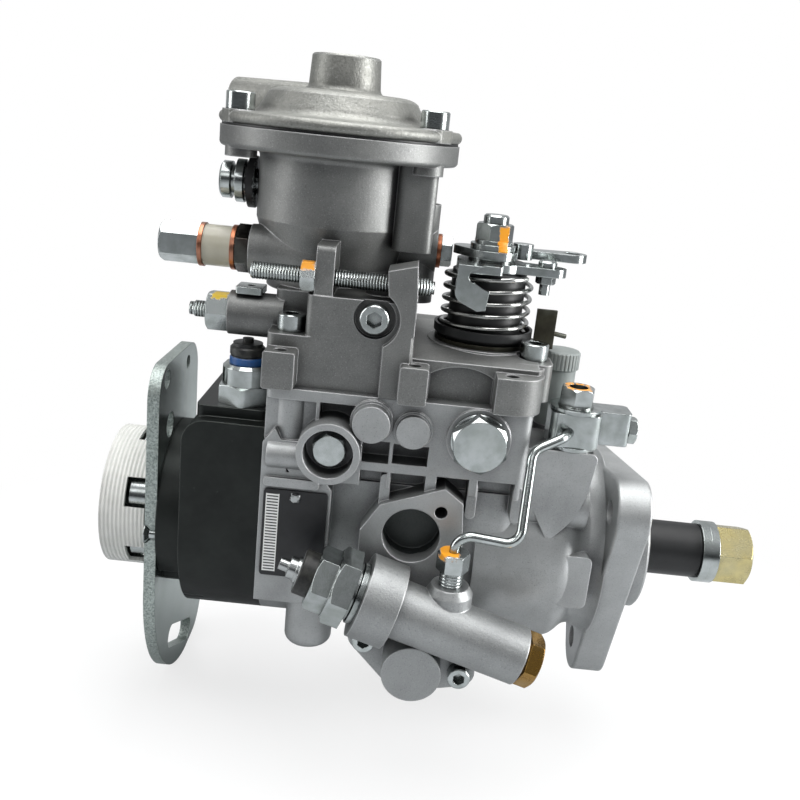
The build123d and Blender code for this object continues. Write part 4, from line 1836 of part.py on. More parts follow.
weight_count = 4
with BuildPart() as governor_carrier:
    with BuildSketch(Plane.YZ.offset(carrier_x)):
        with Locations((0, governor_z)):
            add(gear_sketch(governor_teeth, -90.0 + 180.0 / governor_teeth, governor_shaft_r + fit))
    extrude(amount=gear_t)
    with BuildSketch(Plane.YZ.offset(carrier_x)):
        with Locations((0, governor_z)):
            Circle(15.5)
            Circle(governor_shaft_r + fit, mode=Mode.SUBTRACT)
    extrude(amount=-2.5)
    with BuildSketch(Plane.YZ.offset(carrier_x)):
        with Locations((0, governor_z)):
            with PolarLocations(11.4, weight_count, start_angle=0):
                Rectangle(2.4, 5.0)
    extrude(amount=-22.0)

with BuildPart() as flyweights:
    with BuildSketch(Plane.YZ.offset(carrier_x - 2.6)):
        with Locations((0, governor_z)):
            with PolarLocations(9.6, weight_count, start_angle=45):
                RectangleRounded(5.2, 8.0, 1.2)
    extrude(amount=-19.0)
export_step(as_group("governor_carrier", governor_carrier.part, flyweights.part),
            "parts/governor_carrier.step")

sleeve_start = carrier_x - 8.0
sleeve_end = -102.5
with BuildPart() as governor_sleeve:
    add(turned([(6.4, 0.0), (6.4, sleeve_start - sleeve_end - 5.0), (4.6, sleeve_start - sleeve_end)],
               facing(sleeve_start, 0, governor_z, (-1, 0, 0))))
    with Locations(Plane(origin=(sleeve_start + 1, 0, governor_z), z_dir=(-1, 0, 0))):
        Cylinder(governor_shaft_r + fit, 28.0, align=(Align.CENTER, Align.CENTER, Align.MIN),
                 mode=Mode.SUBTRACT)
governor_sleeve.part.label = "governor_sleeve"
export_step(governor_sleeve.part, "parts/governor_sleeve.step")

lever_front = sleeve_end - 0.3
with BuildPart() as governor_lever:
    # upright plate on a hub, with a foot that carries the ball pin of the collar
    with BuildSketch(Plane.YZ.offset(lever_front - 3.0)):
        with Locations((0, (pivot_z + 68.0) / 2)):
            SlotOverall(68.0 - pivot_z + 12.0, 14.0, rotation=90)
        with Locations((0, 66.0)):
            Circle(1.6, mode=Mode.SUBTRACT)
    extrude(amount=3.0)
    with Locations(Plane(origin=(pivot_x, 0, pivot_z), z_dir=(0, 1, 0))):
        Cylinder(5.4, 16.0)
        Cylinder(pivot_r + fit, 20.0, mode=Mode.SUBTRACT)
    with BuildSketch(Plane.XY.offset(pivot_z - 5.0)):
        with Locations(((pivot_x + collar_x) / 2 - 3.5, 0)):
            RectangleRounded(pivot_x - collar_x + 1.6, 9.0, 2.0)
    extrude(amount=4.0)
    with Locations((collar_x, 0, collar_out_r)):
        Sphere(3.0)
        Cylinder(1.8, pivot_z - 4.0 - collar_out_r, align=(Align.CENTER, Align.CENTER, Align.MIN))
    with Locations(Plane(origin=(pivot_x, 0, pivot_z), z_dir=(0, 1, 0))):
        Cylinder(pivot_r + fit, 20.0, mode=Mode.SUBTRACT)
governor_lever.part.label = "governor_lever"
export_step(governor_lever.part, "parts/governor_lever.step")

with BuildPart() as lever_pin:
    with Locations(Plane(origin=(pivot_x, chamber_y0 - pin_seat, pivot_z), z_dir=(0, 1, 0))):
        Cylinder(pivot_r, chamber_y1 - chamber_y0 + 2 * pin_seat, align=(Align.CENTER, Align.CENTER, Align.MIN))
export_step(as_group("governor_pins", governor_shaft.part, lever_pin.part),
            "parts/governor_pins.step")

# ---------------------------------------------------------------- boost capsule's inside
plate_lift = 3.0
plate_r = 22.0
with BuildPart() as boost_diaphragm:
    with BuildSketch(Plane.XY.offset(boost_seam_z)):
        with Locations((-boost_x, 0)):
            Circle(boost_flange_r - 0.6)
            Circle(plate_r + 0.6, mode=Mode.SUBTRACT)
            with PolarLocations(boost_screw_circle_r, boost_screw_count, start_angle=boost_screw_angle):
                Circle(screw_r + seat, mode=Mode.SUBTRACT)
    extrude(amount=diaphragm_t)
boost_diaphragm.part.label = "boost_diaphragm"
export_step(boost_diaphragm.part, "parts/boost_diaphragm.step")

pin_foot_z = chamber_roof_z - 14.0
with BuildPart() as boost_pin:
    add(turned([(2.6, pin_foot_z), (pin_bore_r - fit, chamber_roof_z - 1.0), (pin_bore_r - fit, boost_seam_z - 5.0),
                (9.0, boost_seam_z - 5.0), (9.0, boost_seam_z - 1.6), (plate_r, boost_seam_z - 1.6),
                (plate_r, boost_seam_z + diaphragm_t + 1.0), (8.0, boost_seam_z + diaphragm_t + 1.0),
                (8.0, boost_seam_z + 5.0)], facing(-boost_x, 0, 0, (0, 0, 1))))
boost_pin.part.label = "boost_pin"
export_step(boost_pin.part, "parts/boost_pin.step")

boost_wire_r = 1.1
boost_coil_z0 = bowl_floor_z + bowl_wall + boost_wire_r + 0.05
boost_coil_h = boost_seam_z - 1.6 - boost_wire_r - 0.05 - boost_coil_z0
with BuildPart() as boost_spring:
    with BuildLine() as coil_line:
        Helix(boost_coil_h / 6, boost_coil_h, 13.0, center=(-boost_x, 0, boost_coil_z0))
    with BuildSketch(Plane(origin=coil_line.line @ 0, z_dir=coil_line.line % 0)):
        Circle(boost_wire_r)
    sweep(path=coil_line.line, is_frenet=True)
boost_spring.part.label = "boost_spring"
export_step(boost_spring.part, "parts/boost_spring.step")

# ---------------------------------------------------------------- shaft seal and sealing washers
with BuildPart() as shaft_seal:
    add(turned([(seal_r - 0.02, 0.2), (seal_r - 0.02, seal_len - 1.0)], on_shaft(pilot_len - seal_len)))
    with Locations(on_shaft(pilot_len - seal_len)):
        Cylinder(shaft_bore_r + 1.4, seal_len, align=(Align.CENTER, Align.CENTER, Align.MIN),
                 mode=Mode.SUBTRACT)
    with BuildSketch(Plane.YZ.offset(pilot_len - seal_len + 0.2)):
        Circle(shaft_bore_r + 2.0)
        Circle(shaft_bore_r, mode=Mode.SUBTRACT)
    extrude(amount=1.4)
shaft_seal.part.label = "shaft_seal"
export_step(shaft_seal.part, "parts/shaft_seal.step")

with BuildPart() as copper_washers:
    for x, r in ((step_washer, 8.2), (step_outer, 8.0)):
        with Locations(along(x)):
            Cylinder(r, washer_h, align=(Align.CENTER, Align.CENTER, Align.MIN))
            Cylinder(return_shank_r + seat, washer_h, align=(Align.CENTER, Align.CENTER, Align.MIN),
                     mode=Mode.SUBTRACT)
    with Locations(facing(side_plug_x, side_plug_y, side_plug_z, (1, 0, 0))):
        Cylinder(6.4, washer_h, align=(Align.CENTER, Align.CENTER, Align.MIN))
        Cylinder(4.0, washer_h, align=(Align.CENTER, Align.CENTER, Align.MIN), mode=Mode.SUBTRACT)
copper_washers.part.label = "copper_washers"
export_step(copper_washers.part, "parts/copper_washers.step")
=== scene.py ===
"""Dresses a rotary diesel injection pump: castings, plated metal, plastics, paint marks and stage."""

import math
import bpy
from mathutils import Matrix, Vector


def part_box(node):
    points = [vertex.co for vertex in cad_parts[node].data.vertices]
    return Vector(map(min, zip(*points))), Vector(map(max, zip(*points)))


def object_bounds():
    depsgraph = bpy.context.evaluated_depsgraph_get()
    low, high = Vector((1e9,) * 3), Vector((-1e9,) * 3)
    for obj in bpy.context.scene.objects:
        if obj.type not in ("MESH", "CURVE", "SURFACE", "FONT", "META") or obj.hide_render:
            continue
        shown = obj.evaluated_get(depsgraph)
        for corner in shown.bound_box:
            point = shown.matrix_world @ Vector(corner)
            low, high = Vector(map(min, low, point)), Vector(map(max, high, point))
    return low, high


bl_info = {
    "name": "Diesel injection pump finish",
    "version": (1, 0, 0),
    "blender": (4, 5, 0),
    "location": "View3D > Sidebar > Pump",
    "description": "Gives a packed injection pump its materials, small marks, stage and lights",
    "category": "Object",
}

import bmesh
import bpy
from bpy.props import FloatProperty, FloatVectorProperty, PointerProperty, StringProperty
from mathutils import Matrix, Vector

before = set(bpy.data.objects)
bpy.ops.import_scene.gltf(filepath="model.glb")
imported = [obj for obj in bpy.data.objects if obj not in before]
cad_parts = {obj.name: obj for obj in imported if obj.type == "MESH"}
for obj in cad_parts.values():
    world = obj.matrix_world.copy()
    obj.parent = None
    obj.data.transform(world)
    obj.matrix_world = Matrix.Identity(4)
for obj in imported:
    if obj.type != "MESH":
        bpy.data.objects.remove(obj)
CAD_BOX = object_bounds()
MM = 0.001
MASK_SAMPLES = 6                          # rays that each bevel and each occlusion node sends
ALONG_X = (1.0, 0.0, 0.0)
ALONG_Z = (0.0, 0.0, 1.0)
ORIGIN = (0.0, 0.0, 0.0)

# The kinds of node that come up most.
MATH = "ShaderNodeMath"
VECTOR_MATH = "ShaderNodeVectorMath"
MAP_RANGE = "ShaderNodeMapRange"
MIX = "ShaderNodeMix"
NOISE = "ShaderNodeTexNoise"
BEVEL = "ShaderNodeBevel"
BUMP = "ShaderNodeBump"
GEOMETRY = "ShaderNodeNewGeometry"

# Places on the pump, in millimetres of the shared frame. Boxes are (centre, reach) or (centre, reach, hex).
UNIT_TILT = math.radians(17.0)            # lean of the cold-start unit about Y
UNIT_DISC_END = (-122.7, -62.6, 5.1)      # where the unit's black disc ends and its stud begins
BLUE_COLLAR_H = 2.6                       # blue part of the solenoid's insulator
CAP_RIB_PITCH = 1.6                       # ribs round the shipping cap
# painted shade: a dark box on the floor of the housing's blind port, where shade falls
PORT_FLOOR_SHADE = ((-85.1, -34.0, 15.0), (11.0, 6.0, 11.0), "#343a39")
VENT_RUBBER = ((-157.0, 0.0, 129.9), (1.8, 12.0, 12.0), "#1a1b1c")
YELLOW_SEAL = ((-162.0, -24.0, 92.0), (2.6, 4.5, 2.2), "#d8b52a")
PAINT_DABS = (
    ((-63.0, -17.5, 118.6), (1.7, 4.5, 5.6)),       # nut of the throttle lever
    ((-71.6, -60.0, 17.0), (3.4, 4.4, 2.2)),        # union nut of the feed pipe
    ((-30.4, -28.0, 72.6), (4.4, 5.0, 1.2)),        # bolt of the fuel inlet
    ((-129.5, -40.5, 108.2), (2.2, 3.0, 2.4)),      # lock nut of the idle screw
)
SET_SCREW_THREADS = (                     # point on the axis, direction, radius, pitch
    ((0.0, -38.0, 103.4), ALONG_X, 3.0, 1.0),       # idle screw
    ((0.0, -22.0, 84.6), ALONG_X, 3.0, 1.0),        # full-load screw
)

# The label, in millimetres from the plate's own edges.
STRIP_LEFT = 0.9                          # from the plate's left edge to the white strip
STRIP_RIGHT = 5.7                         # from the plate's left edge to the strip's right side
STRIP_END = 1.7                           # bare plate above and below the strip
STRIP_PITCH = 1.15                        # from one ruled line to the next
STRIP_Y = -50.0                           # middle of the box that the strip is cut out with
STRIP_DEPTH = 40.0                        # half of that box's depth
RIVET_SHARE = 0.427                       # rivets from the middle, as a share of the plate's height
RIVET_REACH = (1.5, 6.0, 1.5)

# The stage, in metres.
FLOOR_CENTRE = (-0.094, 0.0)
FLOOR_GAP = 0.0005                        # between the floor and the lowest point of the pump
FLOOR_HALF = 20.0                         # from the floor's centre to its edge
SHADOW_RADII = (0.12, 0.3)                # the shadow shows within the first and is gone past the second
WHITE_SHARE = 0.72                        # share of plain white in the floor within the first radius
SENSOR_MM = 36.0
LAMP_TARGET = (-0.09, 0.0, 0.03)
LAMPS = (                                 # name, place, watts, width, height
    ("overhead softbox", (-0.1, 0.0, 0.8), 8.0, 0.9, 0.6),
    ("left softbox", (-0.9, -0.15, 0.3), 3.0, 0.35, 0.8),
    ("front fill", (-0.3, -1.1, 0.75), 1.2, 0.7, 0.35),
    ("right softbox", (0.85, -0.2, 0.3), 13.0, 0.35, 0.9),
)


# ---------------------------------------------------------------- colours and nodes
def linear(hexa):
    """sRGB hex text to linear red, green, blue and alpha."""
    values = [int(hexa[i:i + 2], 16) / 255 for i in (1, 3, 5)]
    return [v / 12.92 if v <= 0.04045 else ((v + 0.055) / 1.055) ** 2.4 for v in values] + [1.0]


def per_mm(size_mm):
    """Texture scale of a pattern whose grain is this many millimetres across."""
    return 1.0 / (size_mm * MM)


def in_metres(millimetres):
    """Three lengths in millimetres as three in metres."""
    return [value * MM for value in millimetres]


def add_node(tree, kind, inputs=None, output=None, **settings):
    """Adds a node with its settings, and links or sets its inputs.

    Gives the output of that name, or else the first one that the settings leave in use.
    """
    node = tree.nodes.new(kind)
    for key, value in settings.items():
        setattr(node, key, value)
    for key, value in (inputs or {}).items():
        if isinstance(value, bpy.types.NodeSocket):
            tree.links.new(value, node.inputs[key])
        else:
            node.inputs[key].default_value = value
    if output:
        return node.outputs[output]
    return next((socket for socket in node.outputs if socket.enabled), None)


def start_tree(owner):
    """Empty node tree of a material or a world."""
    owner.use_nodes = True
    owner.node_tree.nodes.clear()
    return owner.node_tree


def start_material(name):
    """Empty node material, its tree, and the object's own coordinates."""
    material = bpy.data.materials.new(name)
    tree = start_tree(material)
    return material, tree, add_node(tree, "ShaderNodeTexCoord", output="Object")


def end_material(tree, inputs):
    """Surface shader with these inputs, and the material's output."""
    shader = add_node(tree, "ShaderNodeBsdfPrincipled", inputs)
    add_node(tree, "ShaderNodeOutputMaterial", {"Surface": shader})


def layer(tree, tone, shade, strength, value, low=0.0, high=1.0):
    """Colour with a shade laid over tone, up to strength, where value goes from low to high."""
    mask = add_node(tree, MAP_RANGE, {"Value": value, "From Min": low, "From Max": high, "To Max": strength})
    return add_node(tree, MIX, {0: mask, 6: tone, 7: linear(shade)}, data_type="RGBA")


def edge_relief(tree, radius_mm, height, depth_mm, strength=1.0):
    """Normal with its edges rounded off and a fine relief on it."""
    rounded = add_node(tree, BEVEL, {"Radius": radius_mm * MM}, samples=MASK_SAMPLES)
    return add_node(tree, BUMP, {"Height": height, "Distance": depth_mm * MM, "Strength": strength,
                                 "Normal": rounded})


def edge_wear_and_highlight_mask(tree, radius_mm):
    """White where the surface turns sharply, from the difference between rounded and plain normals: the mask
    for edge wear and a painted highlight.
    """
    rounded = add_node(tree, BEVEL, {"Radius": radius_mm * MM}, samples=MASK_SAMPLES)
    plain = add_node(tree, GEOMETRY, output="Normal")
    agreement = add_node(tree, VECTOR_MATH, {0: rounded, 1: plain}, operation="DOT_PRODUCT")
    return add_node(tree, MAP_RANGE, {"Value": agreement, "From Min": 0.995, "From Max": 0.86})


def crevice_shade_mask(tree, distance_mm):
    """White in corners and grooves: the mask for painted shade, taken from ambient occlusion."""
    open_sky = add_node(tree, "ShaderNodeAmbientOcclusion", {"Distance": distance_mm * MM}, output="AO",
                        samples=MASK_SAMPLES)
    return add_node(tree, MAP_RANGE, {"Value": open_sky, "From Min": 0.85, "From Max": 0.25})


def share_of_box(tree, place, centre, reach):
    """Distance from the centre of a box along X, Y and Z, as shares of its reach."""
    offset = add_node(tree, VECTOR_MATH, {0: place, 1: in_metres(centre)}, operation="SUBTRACT")
    shares = add_node(tree, VECTOR_MATH, {0: offset, 1: in_metres(reach)}, operation="DIVIDE")
    sizes = add_node(tree, VECTOR_MATH, {0: shares}, operation="ABSOLUTE")
    return add_node(tree, "ShaderNodeSeparateXYZ", {0: sizes}).node.outputs


def near(tree, place, centre, reach, edge_mm=0.5):
    """White inside a box about centre, with a brushed edge; centre and reach in millimetres."""
    jitter = add_node(tree, NOISE, {"Vector": place, "Scale": per_mm(1.6), "Detail": 4.0}, output="Color")
    shift = add_node(tree, VECTOR_MATH, {0: jitter, 1: (0.5, 0.5, 0.5)}, operation="SUBTRACT")
    stroke = add_node(tree, VECTOR_MATH, {0: shift, "Scale": 2.6 * MM}, operation="SCALE")
    moved = add_node(tree, VECTOR_MATH, {0: place, 1: stroke}, operation="ADD")
    x, y, z = share_of_box(tree, moved, centre, reach)
    flat = add_node(tree, MATH, {0: x, 1: y}, operation="MAXIMUM")
    farthest = add_node(tree, MATH, {0: flat, 1: z}, operation="MAXIMUM")
    edge = edge_mm / max(reach)
    return add_node(tree, MAP_RANGE, {"Value": farthest, "From Min": 1.0 + edge, "From Max": 1.0 - edge})


def distance_along(tree, place, point, direction):
    """How far a point of the surface lies beyond point in a direction, in millimetres."""
    offset = add_node(tree, VECTOR_MATH, {0: place, 1: in_metres(point)}, operation="SUBTRACT")
    metres = add_node(tree, VECTOR_MATH, {0: offset, 1: direction}, operation="DOT_PRODUCT")
    return add_node(tree, MATH, {0: metres, 1: 1.0 / MM}, operation="MULTIPLY")


def distance_from_axis(tree, place, point, direction):
    """How far a point of the surface lies from an axis, in millimetres."""
    offset = add_node(tree, VECTOR_MATH, {0: place, 1: in_metres(point)}, operation="SUBTRACT")
    across = add_node(tree, VECTOR_MATH, {0: offset, 1: direction}, operation="CROSS_PRODUCT")
    metres = add_node(tree, VECTOR_MATH, {0: across}, operation="LENGTH")
    return add_node(tree, MATH, {0: metres, 1: 1.0 / MM}, operation="MULTIPLY")


def ridges(tree, distance_mm, pitch_mm):
    """Even ridges along a distance, from 0 to 1."""
    angle = add_node(tree, MATH, {0: distance_mm, 1: 2 * math.pi / pitch_mm}, operation="MULTIPLY")
    wave = add_node(tree, MATH, {0: angle}, operation="SINE")
    return add_node(tree, MATH, {0: wave, 1: 0.5, 2: 0.5}, operation="MULTIPLY_ADD")


def running_along(tree, direction, black, white):
    """White on walls that run along a direction, black on faces square to it."""
    plain = add_node(tree, GEOMETRY, output="Normal")
    slope = add_node(tree, VECTOR_MATH, {0: plain, 1: direction}, operation="DOT_PRODUCT")
    tilt = add_node(tree, MATH, {0: slope}, operation="ABSOLUTE")
    return add_node(tree, MAP_RANGE, {"Value": tilt, "From Min": black, "From Max": white})


# ---------------------------------------------------------------- materials
def blasted_casting(name, colour, pale, dark, grain_mm=0.9, grain_depth=0.05, roughness=0.5, painted_shades=()):
    """Blasted aluminium: matte grey with a fine sparkle, paler on its edges from wear and a painted
    highlight, and darker in corners from painted shade.

    The grain is drawn coarser than real grit, so that it shows. The boxes of painted shade are (centre,
    reach, hex), such as the darkened floor of a blind port.
    """
    material, tree, place = start_material(name)
    cloud = add_node(tree, NOISE, {"Vector": place, "Scale": per_mm(11.0), "Detail": 5.0, "Roughness": 0.55})
    stain = add_node(tree, NOISE, {"Vector": place, "Scale": per_mm(38.0), "Detail": 2.0, "Roughness": 0.55})
    grain = add_node(tree, NOISE, {"Vector": place, "Scale": per_mm(grain_mm), "Detail": 2.0,
                                   "Roughness": 0.7})
    speck = add_node(tree, NOISE, {"Vector": place, "Scale": per_mm(grain_mm * 0.45), "Detail": 1.0,
                                   "Roughness": 0.6})
    tone = layer(tree, linear(colour), pale, 1.0, cloud, 0.28, 0.72)
    tone = layer(tree, tone, dark, 0.35, stain, 0.5, 0.75)
    tone = layer(tree, tone, "#d9d9d8", 0.32, speck, 0.6, 0.85)
    tone = layer(tree, tone, dark, 0.3, speck, 0.4, 0.25)
    # painted shade: the dark tone laid into corners and grooves
    tone = layer(tree, tone, dark, 0.75, crevice_shade_mask(tree, 9.0))
    # paler edges: partly wear, partly a painted highlight
    tone = layer(tree, tone, "#cfcfd0", 0.55, edge_wear_and_highlight_mask(tree, 0.8))
    # painted shade in each listed box, such as the floor of the blind port
    for centre, reach, shade in painted_shades:
        tone = layer(tree, tone, shade, 0.8, near(tree, place, centre, reach))
    rough = add_node(tree, MAP_RANGE, {"Value": grain, "To Min": roughness - 0.09,
                                       "To Max": roughness + 0.1})
    wavy = edge_relief(tree, 0.7, cloud, 0.25, strength=0.6)
    normal = add_node(tree, BUMP, {"Height": grain, "Distance": grain_depth * MM, "Normal": wavy})
    end_material(tree, {"Base Color": tone, "Metallic": 0.88, "Roughness": rough, "Normal": normal})
    return material


def plated_steel(name, colour, worn, roughness=0.2, marks=(), threads=(), dark=()):
    """Plated or bare metal: bright with a faint haze and fine scratches, and other spots where asked for.

    marks are (centre, reach, hex) paint dabs, threads are (point, direction, radius, pitch) screw threads,
    and dark are (centre, reach, hex) spots of black metal or rubber.
    """
    material, tree, place = start_material(name)
    cloud = add_node(tree, NOISE, {"Vector": place, "Scale": per_mm(5.0), "Detail": 5.0, "Roughness": 0.55})
    bloom = add_node(tree, NOISE, {"Vector": place, "Scale": per_mm(16.0), "Detail": 2.0, "Roughness": 0.55})
    fine = add_node(tree, NOISE, {"Vector": place, "Scale": per_mm(0.7), "Detail": 3.0, "Roughness": 0.55})
    tone = layer(tree, linear(colour), worn, 1.0, cloud, 0.35, 0.65)
    tone = layer(tree, tone, "#a9b0a8", 0.35, bloom, 0.5, 0.8)
    # painted shade: near-black laid into corners and grooves
    tone = layer(tree, tone, "#2e2d2b", 0.75, crevice_shade_mask(tree, 3.0))
    metallic = 1.0
    rough = add_node(tree, MATH, {0: cloud, 1: 0.2, 2: roughness - 0.1}, operation="MULTIPLY_ADD")
    normal = edge_relief(tree, 0.35, fine, 0.014)
    for point, direction, radius, pitch in threads:
        turns = ridges(tree, distance_along(tree, place, point, direction), pitch)
        beside = add_node(tree, MAP_RANGE, {"Value": distance_from_axis(tree, place, point, direction),
                                            "From Min": radius + 0.25, "From Max": radius + 0.1})
        walls = running_along(tree, direction, 0.6, 0.4)
        shank = add_node(tree, MATH, {0: beside, 1: walls}, operation="MULTIPLY")
        # painted shade: the thread roots between the turns are darkened
        low = add_node(tree, MAP_RANGE, {"Value": turns, "From Min": 0.4, "From Max": 0.05})
        thread_root_shade = add_node(tree, MATH, {0: shank, 1: low}, operation="MULTIPLY")
        tone = layer(tree, tone, "#22221f", 0.85, thread_root_shade)
        height = add_node(tree, MATH, {0: turns, 1: shank}, operation="MULTIPLY")
        normal = add_node(tree, BUMP, {"Height": height, "Distance": 0.4 * MM, "Strength": 0.9,
                                       "Normal": normal})
    for spots, added_roughness in ((marks, 0.25), (dark, 0.3)):
        for centre, reach, shade in spots:
            spot = near(tree, place, centre, reach)
            tone = layer(tree, tone, shade, 1.0, spot)
            bare = add_node(tree, MATH, {0: 1.0, 1: spot}, operation="SUBTRACT")
            metallic = add_node(tree, MATH, {0: metallic, 1: bare}, operation="MULTIPLY")
            rough = add_node(tree, MATH, {0: spot, 1: added_roughness, 2: rough}, operation="MULTIPLY_ADD")
    end_material(tree, {"Base Color": tone, "Metallic": metallic, "Roughness": rough, "Normal": normal})
    return material


def galvanised_plate(name, colour, sheared):
    """Zinc-plated pressed plate: smooth rolled faces, and sheared edges with a coarse torn grain."""
    material, tree, place = start_material(name)
    cloud = add_node(tree, NOISE, {"Vector": place, "Scale": per_mm(14.0), "Detail": 4.0, "Roughness": 0.55})
    tear = add_node(tree, NOISE, {"Vector": place, "Scale": per_mm(0.75), "Detail": 4.0, "Roughness": 0.7})
    edge = running_along(tree, ALONG_X, 0.7, 0.5)
    tone = layer(tree, linear(colour), "#98a39e", 1.0, cloud, 0.3, 0.7)
    torn = layer(tree, linear("#7d8682"), sheared, 1.0, tear, 0.35, 0.65)
    tone = add_node(tree, MIX, {0: edge, 6: tone, 7: torn}, data_type="RGBA")
    # painted shade: dark tone laid into corners and grooves
    tone = layer(tree, tone, "#2b312f", 0.6, crevice_shade_mask(tree, 6.0))
    rolled = add_node(tree, MATH, {0: cloud, 1: 0.14, 2: 0.16}, operation="MULTIPLY_ADD")
    rough = add_node(tree, MATH, {0: edge, 1: 0.16, 2: rolled}, operation="MULTIPLY_ADD")
    coarse = add_node(tree, MATH, {0: edge, 1: 0.95, 2: 0.05}, operation="MULTIPLY_ADD")
    grain = add_node(tree, MATH, {0: tear, 1: coarse}, operation="MULTIPLY")
    normal = edge_relief(tree, 0.6, grain, 0.22)
    end_material(tree, {"Base Color": tone, "Metallic": 1.0, "Roughness": rough, "Normal": normal})
    return material


def moulded_plastic(name, colour, shade, roughness=0.4, clear=0.0, ribs=None):
    """Moulded plastic: even colour, a slight haze, soft highlights; ribs is (point, direction, pitch)."""
    material, tree, place = start_material(name)
    cloud = add_node(tree, NOISE, {"Vector": place, "Scale": per_mm(6.0), "Detail": 3.0, "Roughness": 0.55})
    grain = add_node(tree, NOISE, {"Vector": place, "Scale": per_mm(0.6), "Detail": 3.0, "Roughness": 0.55})
    tone = layer(tree, linear(colour), shade, 1.0, cloud, 0.3, 0.7)
    normal = edge_relief(tree, 0.4, grain, 0.02)
    if ribs:
        point, direction, pitch = ribs
        around = running_along(tree, direction, 0.7, 0.5)
        turns = ridges(tree, distance_along(tree, place, point, direction), pitch)
        rings = add_node(tree, MATH, {0: turns, 1: around}, operation="MULTIPLY")
        # painted shade: the valleys between the ribs are greyed
        low = add_node(tree, MAP_RANGE, {"Value": rings, "From Min": 0.3, "From Max": 0.0})
        groove_shade = add_node(tree, MATH, {0: around, 1: low}, operation="MULTIPLY")
        tone = layer(tree, tone, "#b9b9b4", 0.4, groove_shade)
        normal = add_node(tree, BUMP, {"Height": rings, "Distance": 0.35 * MM, "Strength": 0.8,
                                       "Normal": normal})
    end_material(tree, {"Base Color": tone, "Roughness": roughness, "IOR": 1.5, "Transmission Weight": clear,
                        "Normal": normal})
    return material


def black_oxide(name, colour, pale):
    """Steel blackened and oiled: satin, cloudy, rubbed grey on its edges as wear and a painted highlight,
    and with a few pale scuffs.
    """
    material, tree, place = start_material(name)
    cloud = add_node(tree, NOISE, {"Vector": place, "Scale": per_mm(12.0), "Detail": 5.0, "Roughness": 0.55})
    grain = add_node(tree, NOISE, {"Vector": place, "Scale": per_mm(0.8), "Detail": 3.0, "Roughness": 0.6})
    scuff = add_node(tree, NOISE, {"Vector": place, "Scale": per_mm(7.0), "Detail": 6.0, "Roughness": 0.75})
    tone = layer(tree, linear(colour), pale, 1.0, cloud, 0.3, 0.7)
    tone = layer(tree, tone, "#6b716c", 0.4, scuff, 0.66, 0.74)
    # grey edges: partly wear, partly a painted highlight
    tone = layer(tree, tone, "#7a7f7b", 0.35, edge_wear_and_highlight_mask(tree, 0.6))
    rough = add_node(tree, MAP_RANGE, {"Value": cloud, "To Min": 0.32, "To Max": 0.5})
    normal = edge_relief(tree, 0.8, grain, 0.03)
    end_material(tree, {"Base Color": tone, "Metallic": 0.55, "Roughness": rough, "Normal": normal})
    return material


def label_plate(name, strip, rivets, pitch_mm):
    """Black anodised plate with a bare white strip, ruled evenly, and two bright rivets."""
    material, tree, place = start_material(name)
    low_x, high_x, low_z, high_z = strip
    centre = ((low_x + high_x) / 2, STRIP_Y, (low_z + high_z) / 2)
    reach = ((high_x - low_x) / 2, STRIP_DEPTH, (high_z - low_z) / 2)
    cloud = add_node(tree, NOISE, {"Vector": place, "Scale": per_mm(5.0), "Detail": 4.0, "Roughness": 0.55})
    tone = layer(tree, linear("#121315"), "#1d1e21", 1.0, cloud, 0.3, 0.7)
    x, _, z = share_of_box(tree, place, centre, reach)
    farthest = add_node(tree, MATH, {0: x, 1: z}, operation="MAXIMUM")
    inside = add_node(tree, MAP_RANGE, {"Value": farthest, "From Min": 1.01, "From Max": 0.99})
    lines = ridges(tree, distance_along(tree, place, (0.0, 0.0, low_z), ALONG_Z), pitch_mm)
    thin = add_node(tree, MAP_RANGE, {"Value": lines, "From Min": 0.42, "From Max": 0.36})
    short = add_node(tree, MAP_RANGE, {"Value": x, "From Min": 0.86, "From Max": 0.82})
    ruled = add_node(tree, MATH, {0: thin, 1: short}, operation="MULTIPLY")
    paper = layer(tree, linear("#e8e9e6"), "#3a3b3c", 1.0, ruled)
    tone = add_node(tree, MIX, {0: inside, 6: tone, 7: paper}, data_type="RGBA")
    heads = [near(tree, place, rivet, RIVET_REACH, 0.1) for rivet in rivets]
    for head in heads:
        tone = layer(tree, tone, "#b9bcbc", 1.0, head)
    metallic = add_node(tree, MATH, dict(enumerate(heads)), operation="MAXIMUM")
    rounded = add_node(tree, BEVEL, {"Radius": 0.3 * MM}, samples=MASK_SAMPLES)
    end_material(tree, {"Base Color": tone, "Metallic": metallic, "Roughness": 0.38, "Normal": rounded})
    return material


def two_stage(name, first, second, point, direction):
    """One material that changes from first (hex, metallic, roughness) to second beyond a point."""
    material, tree, place = start_material(name)
    beyond = add_node(tree, MAP_RANGE, {"Value": distance_along(tree, place, point, direction),
                                        "From Min": -0.05, "From Max": 0.05})
    cloud = add_node(tree, NOISE, {"Vector": place, "Scale": per_mm(3.0), "Detail": 4.0, "Roughness": 0.55})
    tone = layer(tree, linear(first[0]), second[0], 1.0, beyond)
    tone = layer(tree, tone, "#77776f", 0.2, cloud, 0.4, 0.7)
    metallic = add_node(tree, MAP_RANGE, {"Value": beyond, "To Min": first[1], "To Max": second[1]})
    rough = add_node(tree, MAP_RANGE, {"Value": beyond, "To Min": first[2], "To Max": second[2]})
    normal = edge_relief(tree, 0.3, cloud, 0.04)
    end_material(tree, {"Base Color": tone, "Metallic": metallic, "Roughness": rough, "Normal": normal})
    return material


def dress(material, *nodes):
    """Gives CAD pieces one material."""
    for name in nodes:
        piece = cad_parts[name]
        piece.data.materials.clear()
        piece.data.materials.append(material)


